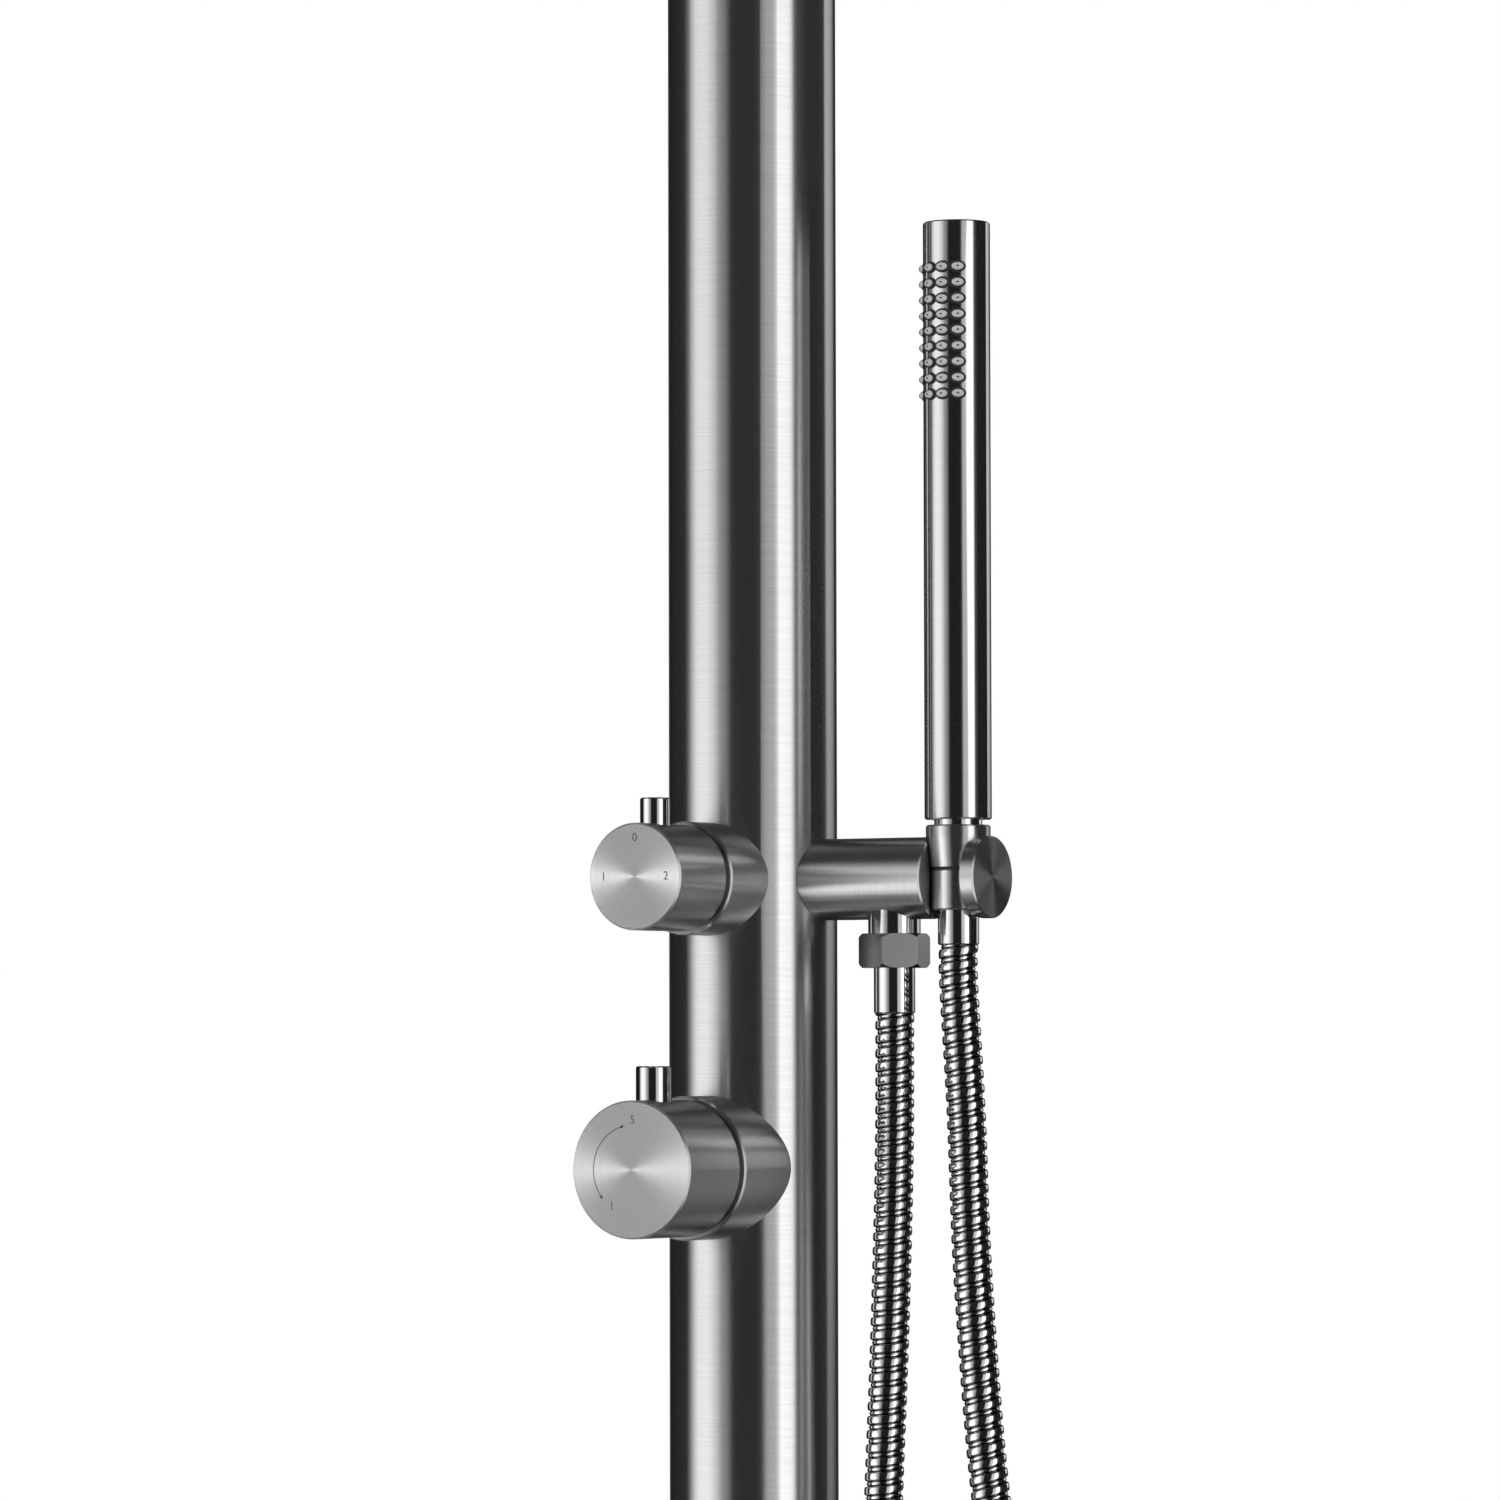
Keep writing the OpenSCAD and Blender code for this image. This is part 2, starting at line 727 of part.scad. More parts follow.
// Side arm: a bar with the hose outlet under it and the hand shower's holder at its end
arm_r = arm_d / 2;
arm_edge = 0.5;
holder_x = arm_reach - arm_disc_t - holder_slot_w / 2;
nipple_end = post_r + nipple_depth;
arm_waterway_d = 12;
outlet_sink = 1.4;
outlet_seat_z = -arm_r + outlet_sink;
outlet_shoulder = 1.6;
outlet_spigot_r = outlet_d / 2 - outlet_shoulder;
outlet_spigot_h = 8;
holder_gap = free_gap;
cone_collar_z = cone_end_z + cone_h - cone_collar_h;

module side_nipple() {
    color(satin) toward_arm(control_z)
        turned(ring_profile(nipple_bore / 2, nipple_r, nipple_depth, nipple_end, 0, 0));
}

// Seat for the cone nut: a taper over a straight bore that lets the swivel through
module holder_bore() {
    turned([
        [0, -arm_d],
        [cone_end_d / 2 + holder_gap, -arm_d],
        [cone_end_d / 2 + holder_gap, cone_end_z],
        [cone_d / 2 + holder_gap, cone_collar_z],
        [cone_d / 2 + holder_gap, arm_d],
        [0, arm_d]
    ]);
}

// Ring of triangular section that breaks the edge of the slot at a given place
module slot_edge_cut(x, side) {
    translate([x, 0, 0]) mirror([side, 0, 0]) rotate([0, 90, 0]) turned([
        [arm_r - arm_edge, 0],
        [arm_r + overrun, -overrun],
        [arm_r + overrun, arm_edge + overrun]
    ]);
}

module side_arm() {
    slot_low_x = holder_x - holder_slot_w / 2;
    color(steel) translate([0, 0, control_z]) difference() {
        rotate([0, 90, 0]) turned(ring_profile(0, arm_r, 0, arm_reach, 0, arm_edge));
        translate([0, 0, -arm_d]) cylinder(r = post_r + seat_gap, h = 2 * arm_d);
        translate([slot_low_x, -arm_d, -arm_d]) cube([holder_slot_w, arm_d, 2 * arm_d]);
        translate([holder_x, 0, 0]) holder_bore();
        rotate([0, 90, 0]) bar(nipple_r + seat_gap, 0, nipple_end);
        rotate([0, 90, 0]) bar(arm_waterway_d / 2, 0, outlet_x);
        translate([outlet_x, 0, 0]) {
            bar(outlet_d / 2 + seat_gap, -arm_d, outlet_seat_z);
            bar(outlet_spigot_r + seat_gap, -arm_d, 0);
        }
        intersection() {
            union() {
                slot_edge_cut(slot_low_x, 1);
                slot_edge_cut(slot_low_x + holder_slot_w, 0);
            }
            translate([0, -arm_d, -arm_d]) cube([arm_reach, arm_d, 2 * arm_d]);
        }
    }
}

// Hose outlet: heights are measured from the arm's axis
nut_top = -arm_r - outlet_gap;
nut_bottom = nut_top - nut_h;
nut_lip_t = 1.3;
flange_t = 1.2;
washer_t = 1.8;
lower_flange_z = nut_bottom + nut_lip_t;
stub_end = lower_flange_z + flange_t + washer_t;
lower_hose_z = nut_bottom - lower_ferrule_l;
valve_wall = 1.5;
stub_bore_r = outlet_spigot_r - valve_wall;

module at_outlet() {
    translate([outlet_x, 0, control_z]) children();
}

module outlet_stub() {
    color(satin) at_outlet() turned([
        [stub_bore_r, stub_end],
        [outlet_d / 2, stub_end],
        [outlet_d / 2, outlet_seat_z],
        [outlet_spigot_r, outlet_seat_z],
        [outlet_spigot_r, outlet_seat_z + outlet_spigot_h],
        [stub_bore_r, outlet_seat_z + outlet_spigot_h]
    ]);
}

module check_valve() {
    color(plastic) at_outlet() turned(ring_profile(stub_bore_r / 2, stub_bore_r - seat_gap,
        stub_end + valve_wall, outlet_seat_z, arm_edge, arm_edge));
}

nut_turn = 39;
nut_edge = 1.4;

module hose_nut() {
    nut_r = nut_af / sqrt(3);
    color(steel) at_outlet() difference() {
        intersection() {
            rotate([0, 0, nut_turn]) translate([0, 0, nut_bottom])
                cylinder(r = nut_r, h = nut_h, $fn = 6);
            turned(ring_profile(0, nut_r + overrun, nut_bottom, nut_top, nut_edge + overrun,
                nut_edge + overrun));
        }
        bar(outlet_d / 2 + seat_gap, lower_flange_z, nut_top + overrun);
        bar(lower_ferrule_d / 2 + seat_gap, nut_bottom - overrun, nut_top);
    }
}

module hose_washer() {
    color(rubber) at_outlet() turned(ring_profile(hose_bore / 2, outlet_d / 2 - seat_gap,
        stub_end - washer_t, stub_end, 0, 0));
}

module lower_ferrule() {
    color(steel) at_outlet() turned([
        [hose_bore / 2, lower_hose_z],
        [lower_ferrule_d / 2 - arm_edge, lower_hose_z],
        [lower_ferrule_d / 2, lower_hose_z + arm_edge],
        [lower_ferrule_d / 2, lower_flange_z],
        [outlet_d / 2 - seat_gap, lower_flange_z],
        [outlet_d / 2 - seat_gap, lower_flange_z + flange_t],
        [hose_bore / 2, lower_flange_z + flange_t]
    ]);
}

// Hand shower: heights are measured from the arm's axis
ring_t = 0.8;
swivel_top = cone_end_z - ring_t - seat_gap;
swivel_bottom = swivel_top - swivel_l;
upper_hose_z = swivel_bottom - upper_ferrule_l;
tail_r = 6;
tail_flange_r = 7.4;
cone_lip_t = 2.6;
cone_thread_r = neck_d / 2 + seat_gap;
tail_flange_z = cone_end_z + cone_lip_t + seat_gap;
cone_washer_z = tail_flange_z + flange_t;
neck_end = cone_washer_z + washer_t;
wand_bottom = cone_end_z + cone_h + neck_gap;
wand_top = wand_bottom + wand_l;
wand_r = wand_d / 2;
wand_bore_r = wand_r - wand_wall;
neck_plug_h = 12;
cap_disc_t = 1.6;
wand_edge = 0.5;
strip_margin = 5;
core_end = 3;
wand_cap_plug_h = nozzle_drop - strip_margin - core_end - cap_disc_t - free_gap;

module at_holder() {
    translate([holder_x, 0, control_z]) children();
}

module upper_ferrule() {
    color(steel) at_holder() turned(ring_profile(hose_bore / 2, upper_ferrule_d / 2,
        upper_hose_z, swivel_bottom, arm_edge, 0));
}

module swivel_sleeve() {
    color(steel) at_holder() turned([
        [hose_bore / 2, swivel_bottom],
        [swivel_d / 2 - knob_chamfer, swivel_bottom],
        [swivel_d / 2, swivel_bottom + knob_chamfer],
        [swivel_d / 2, swivel_top - arm_edge],
        [swivel_d / 2 - arm_edge, swivel_top],
        [tail_r, swivel_top],
        [tail_r, tail_flange_z],
        [tail_flange_r, tail_flange_z],
        [tail_flange_r, cone_washer_z - seat_gap],
        [hose_bore / 2, cone_washer_z - seat_gap]
    ]);
}

module swivel_ring() {
    color(rubber) at_holder() turned(ring_profile(tail_r + seat_gap, swivel_d / 2 - arm_edge,
        swivel_top, swivel_top + ring_t, 0, 0));
}

module cone_nut() {
    high = cone_end_z + cone_h;
    color(steel) at_holder() turned([
        [tail_r + running_gap, cone_end_z],
        [cone_end_d / 2, cone_end_z],
        [cone_d / 2, cone_collar_z],
        [cone_d / 2, high - knob_chamfer],
        [cone_d / 2 - knob_chamfer, high],
        [cone_thread_r, high],
        [cone_thread_r, cone_end_z + cone_lip_t],
        [tail_r + running_gap, cone_end_z + cone_lip_t]
    ]);
}

module cone_washer() {
    color(rubber) at_holder() turned(ring_profile(hose_bore / 2, neck_d / 2 - seat_gap,
        cone_washer_z, neck_end, 0, 0));
}

module wand_neck() {
    color(satin) at_holder() turned([
        [hose_bore / 2, neck_end],
        [neck_d / 2, neck_end],
        [neck_d / 2, wand_bottom],
        [wand_bore_r - seat_gap, wand_bottom],
        [wand_bore_r - seat_gap, wand_bottom + neck_plug_h],
        [hose_bore / 2, wand_bottom + neck_plug_h]
    ]);
}

// Direction of the nozzle field's middle in plan
spray_angle = -back_angle - nozzle_turn;

// Places a child at each nozzle, with its axis pointing out of the tube
module at_wand_nozzles() {
    middle = (nozzle_columns - 1) / 2;
    for (row = [0:nozzle_rows - 1]) {
        for (column = [0:nozzle_columns - 1]) {
            translate([0, 0, wand_top - nozzle_drop - row * nozzle_pitch])
                rotate([0, 0, spray_angle + (column - middle) * nozzle_step])
                    rotate([0, 90, 0]) children();
        }
    }
}

module wand_tube() {
    color(steel) at_holder() difference() {
        turned(ring_profile(wand_bore_r, wand_r, wand_bottom, wand_top - cap_disc_t,
            wand_edge, 0));
        at_wand_nozzles()
            bar(nozzle_d / 2 + seat_gap, wand_bore_r - wand_wall / 2, wand_d);
    }
}

strip_t = 1.4;
strip_overlap = 32;
strip_spread = (nozzle_columns - 1) * nozzle_step + strip_overlap;
strip_high = wand_top - nozzle_drop + strip_margin;
strip_low = strip_high - (nozzle_rows - 1) * nozzle_pitch - 2 * strip_margin;
strip_r = wand_bore_r - seat_gap;
strip_inner_r = strip_r - strip_t;

module wand_nozzles() {
    color(silicone) at_holder() union() {
        rotate([0, 0, spray_angle - strip_spread / 2]) rotate_extrude(angle = strip_spread)
            translate([strip_inner_r, strip_low]) square([strip_t, strip_high - strip_low]);
        at_wand_nozzles() bar(nozzle_d / 2, strip_inner_r + strip_t / 2, wand_r + nozzle_rise);
    }
}

core_wall = 1.8;
core_window_w = 2.4;

module wand_core() {
    outer = strip_inner_r - seat_gap;
    middle = (nozzle_columns - 1) / 2;
    window_h = (nozzle_rows - 1) * nozzle_pitch + nozzle_d;
    window_z = wand_top - nozzle_drop + nozzle_d / 2 - window_h;
    color(plastic) at_holder() difference() {
        turned(ring_profile(outer - core_wall, outer, strip_low - core_end,
            strip_high + core_end, 0, 0));
        for (column = [0:nozzle_columns - 1]) {
            rotate([0, 0, spray_angle + (column - middle) * nozzle_step])
                translate([0, -core_window_w / 2, window_z])
                    cube([wand_d, core_window_w, window_h]);
        }
    }
}

module wand_cap() {
    rim = cap_disc_t - wand_edge;
    color(steel) at_holder() translate([0, 0, wand_top - cap_disc_t]) turned([
        [0, cap_disc_t],
        [wand_r - wand_edge, cap_disc_t],
        [wand_r, rim],
        [wand_r, 0],
        [wand_bore_r - seat_gap, 0],
        [wand_bore_r - seat_gap, -wand_cap_plug_h],
        [0, -wand_cap_plug_h]
    ]);
}

// Hose: it leaves the outlet and the ferrule straight down and hangs in a loop beside the post
hose_start = [outlet_x, 0, control_z + lower_hose_z];
hose_end = [holder_x, 0, control_z + upper_hose_z];
hose_route = concat(
    [hose_start, hose_start - [0, 0, hose_d]],
    [
        [57.6, 0, 1000],
        [55.6, 0, 940],
        [52.8, 0, 880],
        [49.6, 0, 800],
        [45.5, 0, 700],
        [42, 0, 600],
        [40, 0, 520],
        [40, 0, 455],
        [43.5, 0, 411],
        [54, 0, 376],
        [72.5, 0, 352],
        [97.5, 0, 344],
        [122.5, 0, 352],
        [141, 0, 374],
        [152, 0, 406],
        [154.5, 0, 445],
        [151, 0, 505],
        [142.5, 0, 580],
        [132, 0, 660],
        [120, 0, 740],
        [107.4, 0, 820],
        [96.2, 0, 885],
        [89.4, 0, 960],
        [86.7, 0, 1020]
    ],
    [hose_end - [0, 0, hose_d], hose_end]
);
route_steps = 8;
hose_sides = 8;
bore_rings = 90;

// A point on the smooth curve between two points of the route
function route_at(i, t) =
    let (last = len(hose_route) - 1)
    let (a = hose_route[max(i - 1, 0)], b = hose_route[i])
    let (c = hose_route[i + 1], d = hose_route[min(i + 2, last)])
    (2 * b + (c - a) * t + (2 * a - 5 * b + 4 * c - d) * t * t
        + (3 * b - a - 3 * c + d) * t * t * t) / 2;

hose_curve = [
    for (i = [0:len(hose_route) - 2]) for (k = [0:route_steps - 1]) route_at(i, k / route_steps),
    hose_end
];

// Length of the curve up to each of its points
function run_lengths(points, i = 1, sum = 0, found = [0]) =
    i == len(points) ? found
    : let (next = sum + norm(points[i] - points[i - 1]))
        run_lengths(points, i + 1, next, concat(found, [next]));

hose_runs = run_lengths(hose_curve);
hose_length = hose_runs[len(hose_runs) - 1];
hose_table_x = [for (i = [0:len(hose_curve) - 1]) [hose_runs[i], hose_curve[i][0]]];
hose_table_z = [for (i = [0:len(hose_curve) - 1]) [hose_runs[i], hose_curve[i][2]]];

function hose_point(run) = [lookup(run, hose_table_x), 0, lookup(run, hose_table_z)];

// Direction of the hose at a run: exactly upright at its ends, where it meets the ferrules
function hose_direction(run) =
    let (reach = hose_d / 4)
    let (ahead = hose_point(min(run + reach, hose_length)))
    let (behind = hose_point(max(run - reach, 0)))
    run < reach ? [0, 0, -1]
    : run > hose_length - reach ? [0, 0, 1]
    : (ahead - behind) / norm(ahead - behind);

// A ring of points round the hose
function hose_ring(run, radius) =
    let (middle = hose_point(run), along = hose_direction(run))
    let (across = [along[2], 0, -along[0]])
    [for (k = [0:hose_sides - 1])
        let (turn = k * 360 / hose_sides)
        middle + radius * cos(turn) * across + radius * sin(turn) * [0, 1, 0]];

// Triangles between two neighbouring rings of a tube, facing out or in
function ring_faces(first, count, inward) = [
    for (i = [0:count - 2]) for (k = [0:hose_sides - 1])
        let (next = (k + 1) % hose_sides)
        let (a = first + i * hose_sides + k, b = first + i * hose_sides + next)
        let (c = a + hose_sides, d = b + hose_sides)
        for (half = [0, 1])
            inward ? (half == 0 ? [a, c, b] : [b, c, d]) : (half == 0 ? [a, b, c] : [b, d, c])
];

// Triangles of the flat end between the outer and the inner ring
function end_faces(outer, inner, at_start) = [
    for (k = [0:hose_sides - 1])
        let (next = (k + 1) % hose_sides)
        let (a = outer + k, b = outer + next, c = inner + k, d = inner + next)
        for (half = [0, 1])
            at_start ? (half == 0 ? [a, c, b] : [b, c, d]) : (half == 0 ? [a, b, c] : [b, d, c])
];

rib_pitch = (hose_length - 2 * hose_d) / hose_ribs;
rib_start_share = 0.25;
hose_outline = concat(
    [[0, hose_d / 2]],
    [for (i = [0:hose_ribs - 1]) for (half = [0, 1])
        [hose_d + (i + rib_start_share + half / 2) * rib_pitch, hose_d / 2 - half * rib_depth]],
    [[hose_length, hose_d / 2]]
);

// Least distance between stretches of the hose that lie further apart than a half turn
function least_gap(points, skip) = min([
    for (i = [0:len(points) - 1 - skip]) for (j = [i + skip:len(points) - 1])
        norm(points[i] - points[j])
]) - hose_d;

gap_points = [for (run = [0:hose_d:hose_length]) hose_point(run)];
gap_skip = 9;
echo(hose_length = hose_length, least_gap = least_gap(gap_points, gap_skip));

module shower_hose() {
    outer_count = len(hose_outline);
    inner_first = outer_count * hose_sides;
    inner_last = inner_first + (bore_rings - 1) * hose_sides;
    outer = [for (p = hose_outline) each hose_ring(p[0], p[1])];
    inner = [for (i = [0:bore_rings - 1])
        each hose_ring(i * hose_length / (bore_rings - 1), hose_bore / 2)];
    color(steel) polyhedron(
        points = concat(outer, inner),
        faces = concat(
            ring_faces(0, outer_count, false),
            ring_faces(inner_first, bore_rings, true),
            end_faces(0, inner_first, true),
            end_faces(inner_first - hose_sides, inner_last, false)
        )
    );
}

// Overhead shower: an elbow in the post, an arm, a ball joint and a round rain head
head_stub_d = 18.5;
overhead_end = overhead_reach + head_stub_d + arm_edge;
head_stub_r = head_stub_d / 2;
head_stub_grip = 2;
head_stub_top = -arm_r + overhead_wall + head_stub_grip;
head_stub_l = 5.8;
head_stub_end = -arm_r - head_stub_l;
ball_spigot_r = 6;
ball_spigot_h = 8;
ball_collar_h = 6;
ball_collar_r = 10;
ball_neck_r = 5.5;
ball_r = ball_d / 2;
ball_neck_show = 4;
ball_z = head_stub_end - ball_collar_h - ball_neck_show - ball_r;
ball_bore_r = 3.5;

module riser_elbow() {
    color(brass) difference() {
        translate([0, 0, elbow_bottom_z])
            turned(ring_profile(0, barrel_r, 0, elbow_h, plate_edge, plate_edge));
        pipe_socket(0, elbow_bottom_z, false);
        waterway(0, elbow_bottom_z + socket_depth / 2, overhead_z, nipple_depth);
        toward_user(overhead_z) bar(nipple_r + seat_gap, nipple_depth, barrel_d);
    }
}

module overhead_nipple() {
    color(satin) toward_user(overhead_z)
        turned(ring_profile(nipple_bore / 2, nipple_r, nipple_depth, nipple_end, 0, 0));
}

module overhead_arm() {
    hollow_start = nipple_end + overhead_wall;
    color(steel) difference() {
        toward_user(overhead_z)
            turned(ring_profile(0, arm_r, 0, overhead_end, 0, arm_edge));
        translate([0, 0, overhead_z - arm_d]) cylinder(r = post_r + seat_gap, h = 2 * arm_d);
        toward_user(overhead_z)
            bar(arm_r - overhead_wall, hollow_start, overhead_end - arm_disc_t);
        toward_user(overhead_z) bar(nipple_r + seat_gap, 0, nipple_end);
        toward_user(overhead_z) bar(nipple_bore / 2, 0, hollow_start + overrun);
        at_head() bar(head_stub_r + seat_gap, -arm_d, 0);
    }
}

// Heights of the rain head's pieces are measured from the overhead arm's axis
module at_head() {
    translate([0, -overhead_reach, overhead_z]) children();
}

module head_stub() {
    color(satin) at_head() turned(ring_profile(ball_spigot_r + seat_gap, head_stub_r,
        head_stub_end, head_stub_top, 0, 0));
}

module head_ball() {
    color(steel) at_head() difference() {
        union() {
            translate([0, 0, ball_z]) sphere(r = ball_r);
            bar(ball_neck_r, ball_z, head_stub_end);
            bar(ball_collar_r, head_stub_end - ball_collar_h, head_stub_end);
            bar(ball_spigot_r, head_stub_end - ball_collar_h, head_stub_end + ball_spigot_h);
        }
        bar(ball_bore_r, ball_z - ball_d, head_stub_end + ball_spigot_h + overrun);
    }
}

// Liner between the ball and its nut: a ring cut from a spherical shell
liner_t = 2;
liner_r = ball_r + free_gap;
cup_r = liner_r + liner_t + free_gap;
liner_high = 6;
liner_low = -9.5;
nut_opening_r = 9.8;
ball_nut_lip = 0.8;
ball_nut_high = ball_r + ball_nut_lip;
ball_nut_wall = 5;
ball_nut_r = cup_r + ball_nut_wall;
ball_nut_low = -12;
hub_rim = 2.2;
hub_r = cup_r + hub_rim;
hub_high = -4;

module ball_liner() {
    color(plastic) at_head() translate([0, 0, ball_z]) difference() {
        intersection() {
            sphere(r = liner_r + liner_t);
            bar(ball_d, liner_low, liner_high);
        }
        sphere(r = liner_r);
    }
}

module ball_nut() {
    slope_z = ball_nut_high - liner_high;
    color(steel) at_head() translate([0, 0, ball_z]) difference() {
        turned([
            [0, ball_nut_low],
            [ball_nut_r - knob_chamfer, ball_nut_low],
            [ball_nut_r, ball_nut_low + knob_chamfer],
            [ball_nut_r, slope_z - knob_chamfer],
            [ball_r, ball_nut_high],
            [0, ball_nut_high]
        ]);
        sphere(r = cup_r);
        bar(hub_r + seat_gap, ball_nut_low - overrun, hub_high + seat_gap);
        bar(nut_opening_r, 0, ball_nut_high + overrun);
    }
}

head_r = head_d / 2;
head_top_gap = 2;
head_top = ball_nut_low - head_top_gap;
head_bottom = head_top - head_t;
head_edge = 1.5;
head_rim = 3;
mat_t = 1.5;
mat_top = head_bottom + head_sheet + mat_t;
head_inlet_r = 5;
head_ring_step = head_r / (head_rings + 1);
first_ring_nozzles = 6;
head_nozzle_rise = 1.5;
head_rest_gap = 0.1;

module rain_head_cover() {
    color(steel) at_head() translate([0, 0, ball_z]) difference() {
        turned([
            [0, hub_high],
            [hub_r, hub_high],
            [hub_r, head_top],
            [head_r - head_edge, head_top],
            [head_r, head_top - head_edge],
            [head_r, head_bottom + head_rest_gap],
            [head_r - head_rim, head_bottom + head_rest_gap],
            [head_r - head_rim, head_top - head_sheet],
            [0, head_top - head_sheet]
        ]);
        sphere(r = cup_r);
        bar(head_inlet_r, head_bottom, hub_high);
    }
}

// Places a child at each nozzle of the rain head
module at_head_nozzles() {
    children();
    for (ring = [1:head_rings]) {
        count = first_ring_nozzles * ring;
        for (i = [0:count - 1]) {
            rotate([0, 0, i * 360 / count]) translate([ring * head_ring_step, 0, 0]) children();
        }
    }
}

module rain_head_plate() {
    color(steel) at_head() translate([0, 0, ball_z]) difference() {
        bar(head_r - head_rim - seat_gap, head_bottom, head_bottom + head_sheet);
        at_head_nozzles() bar(head_nozzle_d / 2 + seat_gap, head_bottom - overrun,
            head_bottom + head_sheet + overrun);
    }
}

module rain_head_nozzles() {
    color(silicone) at_head() translate([0, 0, ball_z]) union() {
        bar(head_r - head_rim - seat_gap, head_bottom + head_sheet, mat_top);
        at_head_nozzles() bar(head_nozzle_d / 2, head_bottom - head_nozzle_rise,
            mat_top - mat_t / 2);
    }
}

base_plate();
base_spigot();
base_screws();
base_cover();
cover_seal();
hot_inlet();
cold_inlet();
hot_supply_pipe();
cold_supply_pipe();
post_tube();
post_cap();
cap_seal();
mixer_body();
mixer_sleeve();
mixer_cartridge();
mixer_cartridge_nut();
mixer_spindle();
mixer_knob();
mixer_pin();
mixer_knob_screw();
link_pipe();
diverter_body();
diverter_sleeve();
diverter_cartridge();
diverter_cartridge_nut();
diverter_spindle();
diverter_knob();
diverter_pin();
diverter_knob_screw();
riser_pipe();
riser_elbow();
overhead_nipple();
overhead_arm();
head_stub();
head_ball();
ball_liner();
ball_nut();
rain_head_cover();
rain_head_plate();
rain_head_nozzles();
side_nipple();
side_arm();
outlet_stub();
check_valve();
hose_nut();
hose_washer();
lower_ferrule();
shower_hose();
upper_ferrule();
swivel_sleeve();
swivel_ring();
cone_nut();
cone_washer();
wand_neck();
wand_tube();
wand_core();
wand_nozzles();
wand_cap();
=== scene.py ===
import math

import bpy
from mathutils import Matrix, Vector


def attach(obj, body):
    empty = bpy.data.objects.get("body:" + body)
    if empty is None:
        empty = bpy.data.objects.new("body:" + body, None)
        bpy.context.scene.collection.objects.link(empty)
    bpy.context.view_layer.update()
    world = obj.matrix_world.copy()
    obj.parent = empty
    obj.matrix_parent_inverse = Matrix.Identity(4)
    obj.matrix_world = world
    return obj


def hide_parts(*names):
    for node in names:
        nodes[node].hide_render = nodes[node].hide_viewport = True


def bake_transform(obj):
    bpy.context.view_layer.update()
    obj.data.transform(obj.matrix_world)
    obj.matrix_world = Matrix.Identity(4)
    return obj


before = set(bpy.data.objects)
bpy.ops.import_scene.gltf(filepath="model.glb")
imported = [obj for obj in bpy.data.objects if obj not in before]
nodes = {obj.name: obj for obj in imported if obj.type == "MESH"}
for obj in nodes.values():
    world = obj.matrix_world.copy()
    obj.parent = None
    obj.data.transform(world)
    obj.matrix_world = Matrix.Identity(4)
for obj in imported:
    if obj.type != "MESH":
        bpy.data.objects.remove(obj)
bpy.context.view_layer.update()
mm = 0.001
mixerHeight, diverterHeight = 1000, 1101.5   # the knobs' axes above the floor, in millimetres
outletX, holderX = 58, 83.9                  # the hose's outlet and the hand shower, to the side

cameraLook = {
    "place": (1.2924, -2.1400, 1.0414),
    "azimuth": 31.153,   # degrees, from straight in front towards the side arm
    "tilt": 2.446,       # degrees above level
    "roll": -0.107,
    "lens": 168.46,      # mm, for the sensor's width below
    "sensor": 36,
    "near": 0.05, "far": 50,
}


def makeCamera():
    data = bpy.data.cameras.new("photoCamera")
    data.lens = cameraLook["lens"]
    data.sensor_width = cameraLook["sensor"]
    data.clip_start = cameraLook["near"]
    data.clip_end = cameraLook["far"]
    camera = bpy.data.objects.new("photoCamera", data)
    bpy.context.scene.collection.objects.link(camera)
    camera.location = cameraLook["place"]
    turned = Matrix.Rotation(math.radians(cameraLook["azimuth"]), 3, "Z")
    tilted = Matrix.Rotation(math.radians(90 + cameraLook["tilt"]), 3, "X")
    rolled = Matrix.Rotation(math.radians(cameraLook["roll"]), 3, "Z")
    camera.rotation_euler = (turned @ tilted @ rolled).to_euler()
    bpy.context.scene.camera = camera
    bpy.context.scene.view_settings.view_transform = "Standard"


print("camera")
makeCamera()


def newTree(name):
    material = bpy.data.materials.new(name)
    material.use_nodes = True
    return material, material.node_tree


def feed(tree, socket, value):
    if hasattr(value, "is_linked"):
        tree.links.new(value, socket)
    else:
        socket.default_value = value


def mathNode(tree, operation, *values):
    node = tree.nodes.new("ShaderNodeMath")
    node.operation = operation
    for socket, value in zip(node.inputs, values):
        feed(tree, socket, value)
    return node.outputs[0]


def mapRange(tree, value, low, high, toLow, toHigh, smooth=False):
    node = tree.nodes.new("ShaderNodeMapRange")
    node.interpolation_type = "SMOOTHSTEP" if smooth else "LINEAR"
    for socket, amount in zip(node.inputs, (value, low, high, toLow, toHigh)):
        feed(tree, socket, amount)
    return node.outputs[0]


def noiseNode(tree, vector, scale, detail, roughness=0.5):
    node = tree.nodes.new("ShaderNodeTexNoise")
    feed(tree, node.inputs["Vector"], vector)
    node.inputs["Scale"].default_value = scale
    node.inputs["Detail"].default_value = detail
    node.inputs["Roughness"].default_value = roughness
    return node.outputs["Fac"]


noiseLow, noiseHigh = 0.3, 0.7   # the part of a noise that a tone is spread over


def toneNode(tree, noise, spread, middle=0.0):
    return mapRange(tree, noise, noiseLow, noiseHigh, middle - spread, middle + spread)


def mixShaders(tree, share, first, second):
    node = tree.nodes.new("ShaderNodeMixShader")
    for socket, value in zip(node.inputs, (share, first, second)):
        feed(tree, socket, value)
    return node.outputs[0]


nearlyAlong = 0.9      # share of a normal that counts as facing along an axis
mergeGap = 0.000001
smoothAngle = 40


def deselectAll():
    bpy.ops.object.select_all(action="DESELECT")


def selectOnly(piece):
    deselectAll()
    piece.select_set(True)
    bpy.context.view_layer.objects.active = piece


def bakePlace(piece):
    selectOnly(piece)
    bpy.ops.object.transform_apply(location=True, rotation=True, scale=True)


